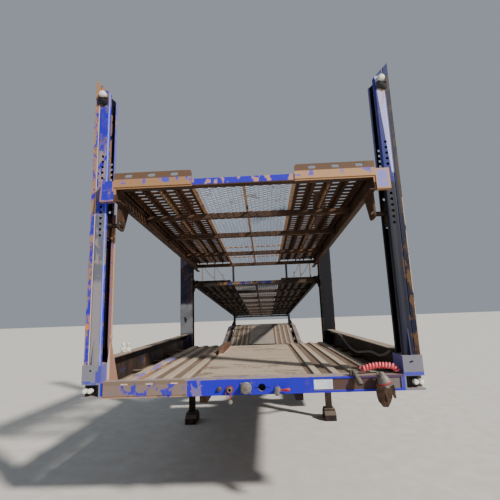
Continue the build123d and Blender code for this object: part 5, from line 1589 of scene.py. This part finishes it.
# ---------------------------------------------------------------- front end
@dataclass
class FrontFittings:
    """Blank plate, tag, hand valve, dents, slits and lamp holders of the front end.

    holder_place is (x, y), a lobe (shift in x, z) and bezel_place (y, z).
    """

    face_y: float = -6.200
    recess_y: float = -6.192
    plate_x: Span = (0.467, 0.608)
    plate_z: Span = (1.041, 1.112)
    plate_depth: float = 0.002
    valve_foot: Point = (-1.180, -5.600, 1.290)
    tag_centre: Point = (-1.2585, -6.180, 1.548)
    tag_half: Span = (0.014, 0.026)
    tag_depth: float = 0.0012
    mark_rise: float = 0.0006
    mark_depth: float = 0.001
    socket_slits: tuple[Span, ...] = ((0.030, 0.0588), (0.1152, 0.144))
    socket_slit_z: Span = (1.0645, 1.0695)
    neck_slits: tuple[tuple[Span, Span], ...] = (((0.24, 0.40), (-5.825, -5.812)),
                                                 ((-0.41, -0.33), (-5.832, -5.820)))
    neck_slit_z: Span = (1.1158, 1.1166)
    dents: tuple[tuple[Span, Span], ...] = (((1.178, 1.190), (1.208, 1.220)),
                                            ((1.190, 1.206), (1.213, 1.224)),
                                            ((-1.216, -1.202), (1.214, 1.228)))
    holder_place: Span = (1.208, -6.181)
    holder_lobes: tuple[Span, ...] = ((-0.014, 3.497), (0.016, 3.470))
    bezel_x: Span = (1.214, 1.253)
    bezel_place: Span = (-6.150, 1.072)

    def blank_plate(self) -> bpy.types.Object:
        """Blank plate in the right recess.

        Returns:
            The plate.
        """
        plate = bmesh.new()
        box_into(plate, self.plate_x, (self.recess_y - self.plate_depth, self.recess_y), self.plate_z)
        return place_piece("blank_plate", finished_mesh(plate, "blank_plate", 0.0006), "root",
                           BLANK_PLATE)

    def tag(self) -> bpy.types.Object:
        """Plain orange oval on the left post's strip.

        Returns:
            The tag.
        """
        oval = bmesh.new()
        x, y, z = self.tag_centre
        outline = round_outline(*self.tag_half, 24)
        prism_into(oval, outline, 0.0, self.tag_depth, lambda a, b, c: (x + a, y - c, z + b))
        return place_piece("orange_tag", finished_mesh(oval, "orange_tag"), "root", ORANGE_TAG)

    def valve(self) -> bpy.types.Object:
        """Silver hand valve on the left sill: a lying body with two stub levers in a V.

        Returns:
            The valve.
        """
        x, y, z = self.valve_foot
        body = [(0.0, CORE), (0.0, 0.016), (0.010, 0.025), (0.034, 0.026), (0.038, 0.021), (0.062, 0.021),
                (0.066, 0.024), (0.084, 0.023), (0.094, 0.013), (0.094, CORE)]
        lever = [(0.0, CORE), (0.0, 0.012), (0.026, 0.013), (0.032, 0.016), (0.046, 0.015), (0.052, 0.008),
                 (0.052, CORE)]
        block = bmesh.new()
        box_into(block, (x - 0.020, x + 0.020), (y - 0.022, y + 0.022), (z, z + 0.012))
        parts = [finished_mesh(block, "valve_base", 0.002),
                 turned_mesh("valve_body", body, 20, (x - 0.046, y, z + 0.026), (1, 0, -0.06)),
                 turned_mesh("lever_left", lever, 14, (x - 0.008, y, z + 0.040), (-0.42, -0.10, 1)),
                 turned_mesh("lever_right", lever, 14, (x + 0.010, y, z + 0.038), (0.50, -0.10, 1))]
        return place_parts("hand_valve", parts, SILVER)

    def slits(self) -> bpy.types.Object:
        """Dark slits beside the open socket and in the neck plate, and the dents of the corner boxes.

        Returns:
            All the marks as one piece.
        """
        marks = bmesh.new()
        depth = (self.face_y - self.mark_rise, self.face_y + self.mark_depth)
        for x in self.socket_slits:
            box_into(marks, x, depth, self.socket_slit_z)
        for x, y in self.neck_slits:
            box_into(marks, x, y, self.neck_slit_z)
        for x, z in self.dents:
            box_into(marks, x, depth, z)
        return place_piece("dark_slits", finished_mesh(marks, "dark_slits"), "root",
                           DARK_MOUTH)

    def lamp_holders(self) -> bpy.types.Object:
        """Two-lobed rubber holders of the marker lamps, and the bezels of the corner lamps.

        Returns:
            Holders and bezels as one piece.
        """
        parts = []
        lobe = [(0.0, CORE), (0.0, 0.025), (0.006, 0.029), (0.012, 0.027), (0.0165, 0.017), (0.0165, CORE)]
        bezel = [(0.0, 0.0187), (0.0, 0.0217), (0.010, 0.0212), (0.010, 0.0187)]
        (holder_x, holder_y), (bezel_y, bezel_z) = self.holder_place, self.bezel_place
        for side in (-1, 1):
            for shift, z in self.holder_lobes:
                parts.append(turned_mesh("lobe", lobe, 18, (side * holder_x + shift, holder_y, z), AHEAD))
            for x in self.bezel_x:
                parts.append(turned_mesh("bezel", bezel, 24, (side * x, bezel_y, bezel_z), AHEAD))
        return place_parts("lamp_holders", parts, HOLDER)

    def build(self) -> list[bpy.types.Object]:
        """All the small fittings."""
        return [self.blank_plate(), self.tag(), self.valve(), self.slits(), self.lamp_holders()]


@dataclass
class BeamSockets:
    """Sockets, tap and pipe coupling on the front beam, each at an (x, z) of its face."""

    face_y: float = -6.200
    boss: Span = (-0.229, 1.064)
    open_socket: Span = (-0.151, 1.059)
    capped_socket: Span = (-0.033, 1.066)
    tap: Span = (0.202, 1.053)
    pipe: Span = (0.768, 1.150)
    pipe_ahead: Point = (0.30, -0.58, -0.86)
    lug_circle: float = 0.047
    mouth_reach: float = 0.098

    def grey_parts(self) -> bpy.types.Object:
        """Open socket, capped socket and tap body.

        Returns:
            The grey sockets, which stand for the CAD's couplings.
        """
        x, z = self.open_socket
        flange = [(0.0, CORE), (0.0, 0.026), (0.008, 0.026), (0.008, 0.019), (0.032, 0.019), (0.034, 0.017),
                  (0.034, 0.011), (0.018, 0.011), (0.018, CORE)]
        parts = [turned_mesh("open_socket", flange, 24, (x, self.face_y, z), AHEAD)]
        x, z = self.capped_socket
        cap = [(0.0, CORE), (0.0, 0.040), (0.008, 0.043), (0.014, 0.043), (0.017, 0.036), (0.036, 0.036),
               (0.041, 0.038), (0.048, 0.035), (0.053, 0.022), (0.055, CORE)]
        parts.append(turned_mesh("capped_socket", cap, 32, (x, self.face_y, z), (0.10, -1.0, 0.06)))
        lug = [(0.0, CORE), (0.0, 0.007), (0.006, 0.007), (0.006, CORE)]
        for angle in map(math.radians, (45, 135, 225, 315)):
            reach_x, reach_z = math.cos(angle) * self.lug_circle, math.sin(angle) * self.lug_circle
            parts.append(turned_mesh("lug", lug, 6, (x + reach_x, self.face_y, z + reach_z), AHEAD))
        x, z = self.tap
        body = [(0.0, CORE), (0.0, 0.022), (0.007, 0.022), (0.010, 0.014), (0.026, 0.014), (0.030, 0.020),
                (0.047, 0.020), (0.050, 0.012), (0.052, CORE)]
        parts.append(turned_mesh("tap_body", body, 8, (x, self.face_y, z), AHEAD))
        parts.append(turned_mesh("tap_neck", body, 20, (x - 0.002, self.face_y + 0.002, z - 0.010),
                                 (-0.10, -1.0, -0.25)))
        return place_parts("beam_sockets", parts, FITTING_GREY, ["couplings"])

    def tap_handle(self) -> bpy.types.Object:
        """Red handle of the tap with its rounded end.

        Returns:
            The handle.
        """
        x, z = self.tap
        handle = [(0.0, CORE), (0.0, 0.008), (0.030, 0.008), (0.036, 0.012), (0.066, 0.012), (0.074, 0.006),
                  (0.075, CORE)]
        mesh = turned_mesh("tap_handle", handle, 16, (x + 0.016, self.face_y - 0.040, z - 0.001),
                           (1.0, 0.0, 0.03))
        return place_piece("tap_handle", mesh, "root", TAP_RED)

    def pipe_coupling(self) -> bpy.types.Object:
        """Olive pipe coupling that points down and to the right.

        Returns:
            The coupling with its latch.
        """
        x, z = self.pipe
        foot = [(0.0, CORE), (0.0, 0.020), (0.008, 0.020), (0.010, 0.014), (0.050, 0.015), (0.050, CORE)]
        knee = [(0.0, CORE), (0.0, 0.016), (0.012, 0.021), (0.022, 0.021), (0.028, 0.016), (0.050, 0.016),
                (0.056, 0.020), (0.064, 0.022), (0.102, 0.022), (0.106, 0.020), (0.106, 0.014),
                (0.090, 0.013), (0.090, CORE)]
        start = (x, self.face_y + 0.004, z + 0.010)
        parts = [turned_mesh("coupling_foot", foot, 20, (x, self.face_y + 0.040, z), AHEAD),
                 turned_mesh("coupling_knee", knee, 24, start, self.pipe_ahead)]
        latch = bmesh.new()
        box_into(latch, (x - 0.020, x + 0.020), (self.face_y + 0.004, self.face_y + 0.050),
                 (1.1295, z - 0.008))
        box_into(latch, (x - 0.030, x - 0.020), (self.face_y - 0.012, self.face_y + 0.030),
                 (z - 0.014, z + 0.020))
        box_into(latch, (x + 0.010, x + 0.028), (self.face_y - 0.004, self.face_y + 0.012),
                 (z + 0.010, z + 0.022))
        parts.append(finished_mesh(latch, "latch", 0.002))
        return place_parts("pipe_coupling", parts, FITTING_OLIVE)

    def mouths(self) -> bpy.types.Object:
        """Dark openings of the pipe coupling and the open socket.

        Returns:
            Both openings as one piece.
        """
        x, z = self.pipe
        plug = [(0.0, CORE), (0.0, 0.0128), (0.003, 0.0128), (0.003, CORE)]
        ahead = Vector(self.pipe_ahead).normalized()
        start = Vector((x, self.face_y + 0.004, z + 0.010)) + ahead * self.mouth_reach
        parts = [turned_mesh("pipe_mouth", plug, 18, tuple(start), tuple(ahead))]
        x, z = self.open_socket
        parts.append(turned_mesh("socket_mouth", plug, 18, (x, self.face_y - 0.020, z), AHEAD))
        return place_parts("coupling_mouths", parts, DARK_MOUTH)

    def rust_parts(self) -> bpy.types.Object:
        """Rusty boss beside the open socket.

        Returns:
            The boss.
        """
        x, z = self.boss
        stub = [(0.0, CORE), (0.0, 0.017), (0.010, 0.017), (0.013, 0.011), (0.022, 0.010), (0.022, CORE)]
        mesh = turned_mesh("boss", stub, 18, (x, self.face_y, z), AHEAD)
        return place_piece("beam_boss", mesh, "root", FITTING_RUST)

    def cap_strap(self) -> list[bpy.types.Object]:
        """Red strap that holds the socket's cap, its red ring, and the round cap at its end.

        Returns:
            The strap with its ring, and the cap.
        """
        x, z = self.open_socket
        ring = [(0.0, 0.0200), (0.0, 0.0285), (-0.004, 0.0285), (-0.004, 0.0200)]
        parts = [turned_mesh("strap_ring", ring, 24, (x, self.face_y - 0.009, z), AHEAD)]
        strap = bmesh.new()
        points = [(-0.139, -6.212, 1.078), (-0.140, -6.228, 1.060), (-0.144, -6.230, 1.030),
                  (-0.147, -6.230, 0.990)]
        tube_into(strap, points, 0.0035, 8)
        tube_into(strap, [(-0.176, -6.212, 1.070), (-0.182, -6.222, 1.040), (-0.168, -6.230, 1.000),
                          (-0.150, -6.230, 0.986)], 0.0022, 6)
        parts.append(finished_mesh(strap, "strap", smooth=True))
        cap = [(0.0, CORE), (0.0, 0.013), (0.004, 0.016), (0.014, 0.017), (0.022, 0.015), (0.026, 0.007),
               (0.026, CORE)]
        mesh = turned_mesh("strap_cap", cap, 22, (-0.146, -6.217, 0.976), (-0.05, -1.0, 0.15))
        return [place_parts("cap_strap", parts, STRAP),
                place_piece("socket_cap", mesh, "root", FITTING_GREY)]

    def build(self) -> list[bpy.types.Object]:
        """All the fittings of the beam's face."""
        return [self.grey_parts(), self.tap_handle(), self.pipe_coupling(), self.mouths(), self.rust_parts(),
                *self.cap_strap()]


@dataclass
class HangingCoupling:
    """Coupling that hangs before the beam: leaning cone, red ring, grey cup and leathery flaps."""

    centre: Span = (0.962, -6.257)
    rim_z: float = 1.092
    lean: Point = (-0.26, 0.0, 1.0)
    thickness: float = 0.004

    def cone(self) -> bpy.types.Object:
        """Leaning grey cone, its stem to the beam, and the cup under the ring.

        Returns:
            The cone, which stands for the CAD's hanging coupling.
        """
        x, y = self.centre
        shell = [(0.0, CORE), (0.0, 0.050), (0.010, 0.048), (0.052, 0.024), (0.064, 0.022), (0.072, 0.016),
                 (0.078, CORE)]
        parts = [turned_mesh("cone", shell, 28, (x + 0.002, y, self.rim_z - 0.004), self.lean)]
        cup = [(0.0, CORE), (0.0, 0.051), (0.016, 0.051), (0.030, 0.044), (0.030, CORE)]
        parts.append(turned_mesh("cup", cup, 28, (x, y, self.rim_z - 0.012), (-0.05, 0.0, -1.0)))
        stem = bmesh.new()
        box_into(stem, (x - 0.022, x + 0.012), (y, -6.190), (self.rim_z + 0.004, self.rim_z + 0.022))
        box_into(stem, (x - 0.030, x + 0.020), (-6.200, -6.191), (self.rim_z - 0.012, self.rim_z + 0.060))
        parts.append(finished_mesh(stem, "stem", 0.002))
        return place_parts("hanging_cone", parts, FITTING_GREY, ["hanging_coupling"])

    def ring(self) -> bpy.types.Object:
        """Red seal that leans with the cone.

        Returns:
            The seal.
        """
        x, y = self.centre
        seal = [(0.0, 0.0515), (-0.002, 0.0550), (0.002, 0.0568), (0.008, 0.0568), (0.011, 0.0545),
                (0.010, 0.0500)]
        mesh = turned_mesh("seal", seal, 32, (x, y, self.rim_z - 0.010), self.lean)
        return place_piece("red_seal", mesh, "root", STRAP)

    def flaps(self) -> bpy.types.Object:
        """Broad creased flap and the narrow one at its right.

        Returns:
            All the flaps and the cord before them as one piece.
        """
        x, y = self.centre
        hang = bmesh.new()

        def broad(u: float, v: float) -> Point:
            """Point of the broad flap.

            Args:
                u: Share across.
                v: Share down.

            Returns:
                The point.
            """
            low = 0.932 + 0.030 * (2 * u - 1.1) ** 2 + 0.003 * math.sin(15 * u)
            crease = 0.012 * (abs(2 * u - 0.9) - 0.5) * math.sin(math.pi * min(1.0, v * 1.5)) * (1 - 0.5 * v)
            side = (u - 0.5) * 0.106 * (1 + 0.12 * math.sin(math.pi * v)) * (1 - 0.24 * v * v)
            top = self.rim_z - 0.020
            return (x - 0.012 + side - 0.008 * v,
                    y - 0.042 - 0.008 * math.sin(math.pi * u) + crease + 0.006 * v,
                    top + (low - top) * v)

        def narrow(u: float, v: float) -> Point:
            """Point of the narrow flap.

            Args:
                u: Share across.
                v: Share down.

            Returns:
                The point.
            """
            top = self.rim_z - 0.018
            low = 0.982 + 0.018 * abs(u - 0.6)
            side = (u - 0.5) * 0.034 * (1 - 0.35 * v)
            return (x + 0.042 + side + 0.016 * v, y - 0.026 + 0.006 * math.sin(6 * v + 3 * u),
                    top + (low - top) * v)

        def behind(u: float, v: float) -> Point:
            """Point of the flap behind the broad one.

            Args:
                u: Share across.
                v: Share down.

            Returns:
                The point.
            """
            top = self.rim_z - 0.020
            low = 0.955 + 0.015 * math.sin(2 + 4 * u)
            return (x - 0.004 + (u - 0.5) * 0.080 * (1 - 0.3 * v),
                    y + 0.012 + 0.006 * math.sin(7 * u + 4 * v),
                    top + (low - top) * v)

        sheet_into(hang, 18, 12, self.thickness, broad)
        sheet_into(hang, 8, 9, self.thickness, narrow)
        sheet_into(hang, 12, 8, self.thickness, behind)
        cord = [(x - 0.020, y - 0.050, 1.040), (x - 0.012, y - 0.053, 1.010), (x - 0.004, y - 0.050, 0.975)]
        tube_into(hang, cord, 0.004, 6)
        mesh = finished_mesh(hang, "flaps", smooth=True)
        return place_piece("coupling_flaps", mesh, "root", LEATHER)

    def build(self) -> list[bpy.types.Object]:
        """Cone, seal and flaps."""
        return [self.cone(), self.ring(), self.flaps()]


@dataclass
class Hoses:
    """The coiled air hose over the beam and the hose along the right sill."""

    coil_route: tuple[Point, ...] = (
        (0.838, -6.146, 1.1620), (0.915, -6.146, 1.1920), (1.035, -6.146, 1.1890), (1.090, -6.146, 1.1760),
        (1.103, -6.146, 1.1480))
    coil_turns: int = 12
    turn_steps: int = 12
    coil_radius: float = 0.0155
    tube_radius: float = 0.0098
    sill_route: tuple[Point, ...] = ((1.118, -3.50, 1.270), (1.112, -3.80, 1.290), (1.104, -4.25, 1.280),
                                     (1.098, -4.60, 1.190), (1.096, -4.95, 1.150), (1.096, -5.25, 1.185),
                                     (1.100, -5.55, 1.225), (1.108, -5.80, 1.200), (1.122, -5.97, 1.270))
    sill_radius: float = 0.010

    @staticmethod
    def spline(name: str, points: Sequence[Point], bevel: float = 0.0) -> bpy.types.Object:
        """A smooth curve with the points as its control points.

        Args:
            name: The curve's name.
            points: Control points.
            bevel: Radius of the tube, or 0 for a bare line.

        Returns:
            The curve object.
        """
        curve = bpy.data.curves.new(name, "CURVE")
        curve.dimensions = "3D"
        curve.resolution_u = 6
        curve.bevel_depth = bevel
        curve.bevel_resolution = 3
        curve.use_fill_caps = bevel > 0
        line = curve.splines.new("NURBS")
        line.points.add(len(points) - 1)
        for control, point in zip(line.points, points):
            control.co = (*point, 1.0)
        line.order_u = 3
        line.use_endpoint_u = True
        return linked_object(name, curve)

    def read_line(self, points: Sequence[Point]) -> list[Vector]:
        """Points along the route's own smooth line.

        Args:
            points: Control points of the route.

        Returns:
            Points along the line.
        """
        bare = self.spline("route", points)
        bare.data.resolution_u = 24
        bpy.context.view_layer.update()
        shown = bare.evaluated_get(bpy.context.evaluated_depsgraph_get())
        mesh = bpy.data.meshes.new_from_object(shown)
        line = [vertex.co.copy() for vertex in mesh.vertices]
        bpy.data.meshes.remove(mesh)
        bpy.data.objects.remove(bare)
        return line

    @staticmethod
    def length(line: Sequence[Vector]) -> float:
        """Length of a run of points."""
        return sum((b - a).length for a, b in zip(line, line[1:]))

    def coil(self) -> bpy.types.Object:
        """The red coiled air hose over the front beam.

        Returns:
            The hose.
        """
        line = self.read_line(self.coil_route)
        reach = [0.0]
        for a, b in zip(line, line[1:]):
            reach.append(reach[-1] + (b - a).length)
        total = reach[-1]
        count = self.coil_turns * self.turn_steps
        points: list[Point] = []
        for step in range(count + 1):
            share = step / count
            want = share * total
            index = max(i for i, value in enumerate(reach) if value <= want + LEAST)
            index = min(index, len(line) - 2)
            part = (want - reach[index]) / max(reach[index + 1] - reach[index], LEAST)
            centre = line[index].lerp(line[index + 1], part)
            ahead = (line[index + 1] - line[index]).normalized()
            side = ahead.cross(Vector((0, 1, 0))).normalized()
            angle = 2 * math.pi * self.coil_turns * share
            across = side * math.cos(angle) + Vector((0, 1, 0)) * math.sin(angle)
            points.append(tuple(centre + across * self.coil_radius))
        coil = self.spline("red_air_coil", points, self.tube_radius)
        coil.data.materials.append(PAINT.of(RED_HOSE))
        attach(coil, "root")
        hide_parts("air_hose_coil")
        real = self.length(self.read_line(points))
        LOG.info("red_air_coil: %.2f m", real)
        return coil

    def sill_hose(self) -> bpy.types.Object:
        """Grey hose that hangs in loops along the right sill.

        Returns:
            The hose.
        """
        hose = self.spline("sill_hose", self.sill_route, self.sill_radius)
        hose.data.materials.append(PAINT.of(GREY_HOSE))
        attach(hose, "root")
        real = self.length(self.read_line(self.sill_route))
        LOG.info("sill_hose: %.2f m", real)
        return hose

    def build(self) -> list[bpy.types.Object]:
        """All the hoses."""
        return [self.coil(), self.sill_hose()]


# ---------------------------------------------------------------- studio
@dataclass
class Studio:
    """Floor, lights and the camera at the photograph's angle."""

    camera_place: Point = (0.13, -8.90, 1.62)
    pitch: float = 10.08
    roll: float = 2.08
    yaw: float = 2.0
    lens: float = 24.98
    sensor: float = 36.0
    sight: float = 200.0
    floor_half: float = 60.0
    sky: Colour = (0.80, 0.89, 1.0)
    sky_strength: float = 0.36
    sun: Colour = (1.0, 0.955, 0.88)
    sun_strength: float = 6.4
    sun_spread: float = 4.0
    sun_ahead: Point = (-0.65, 0.52, -0.56)

    def camera(self) -> None:
        """Camera that sees the trailer as the photograph does."""
        pitch, roll, yaw = (math.radians(value) for value in (self.pitch, self.roll, self.yaw))
        ahead = Vector((-math.sin(yaw) * math.cos(pitch), math.cos(yaw) * math.cos(pitch), math.sin(pitch)))
        level = ahead.cross(Vector((0, 0, 1))).normalized()
        upright = level.cross(ahead)
        right = math.cos(roll) * level - math.sin(roll) * upright
        up = math.sin(roll) * level + math.cos(roll) * upright
        data = bpy.data.cameras.new("photo_camera")
        data.lens = self.lens
        data.sensor_width = self.sensor
        data.clip_end = self.sight
        camera = linked_object("photo_camera", data)
        turn = Matrix((right, up, -ahead)).transposed().to_4x4()
        camera.matrix_world = Matrix.Translation(self.camera_place) @ turn
        bpy.context.scene.camera = camera

    def floor(self) -> None:
        """Plain pale floor."""
        half = self.floor_half
        mesh = bpy.data.meshes.new("studio_floor")
        corners = [(-half, -half, 0), (half, -half, 0), (half, half, 0), (-half, half, 0)]
        mesh.from_pydata(corners, [], [(0, 1, 2, 3)])
        mesh.materials.append(PAINT.of(FLOOR))
        linked_object("studio_floor", mesh)

    def light(self) -> None:
        """Soft sky light and a broad key from the front right."""
        world = bpy.data.worlds.new("studio")
        world.use_nodes = True
        shade = world.node_tree.nodes["Background"]
        shade.inputs["Color"].default_value = (*self.sky, 1.0)
        shade.inputs["Strength"].default_value = self.sky_strength
        bpy.context.scene.world = world
        sun = bpy.data.lights.new("key", "SUN")
        sun.energy = self.sun_strength
        sun.angle = math.radians(self.sun_spread)
        sun.color = self.sun
        lamp = linked_object("key", sun)
        lamp.rotation_euler = Vector(self.sun_ahead).to_track_quat("-Z", "Y").to_euler()

    def build(self) -> None:
        """Sets up the studio."""
        self.camera()
        self.floor()
        self.light()


def dress_nodes() -> None:
    """Gives every CAD node its finish."""
    for name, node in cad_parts.items():
        finish = NODE_FINISHES[name]
        node.data.materials.clear()
        node.data.materials.append(PAINT.of(finish))


def main() -> None:
    """Builds the studio, the finishes and every fine piece."""
    logging.basicConfig(level=logging.INFO, format="%(message)s")
    Studio().build()
    Hoses().build()
    dress_nodes()
    front_deck = UpperDeck("front_deck", (-2.985, 2.465), 2.9, -6.178, -2.700, 2.550, DECK_RUST, ZINC,
                           bars=(-5.45, -4.70, -3.95, -3.25))
    rear_deck = UpperDeck("rear_deck", (-2.800, 2.120), 4.58, -2.895, 5.790, 2.180, REAR_DECK_RUST, ZINC_OLD,
                          diamond=(0.080, 0.048), bars=tuple(-2.4 + 0.72 * k for k in range(11)),
                          bar_finish=REAR_DECK_RUST)
    for assembly in (front_deck, rear_deck, SafetyRopes(turn=rear_deck.turned()), Wheels(), FrontFittings(),
                     BeamSockets(), HangingCoupling()):
        assembly.build()


if __name__ == "__main__":
    main()
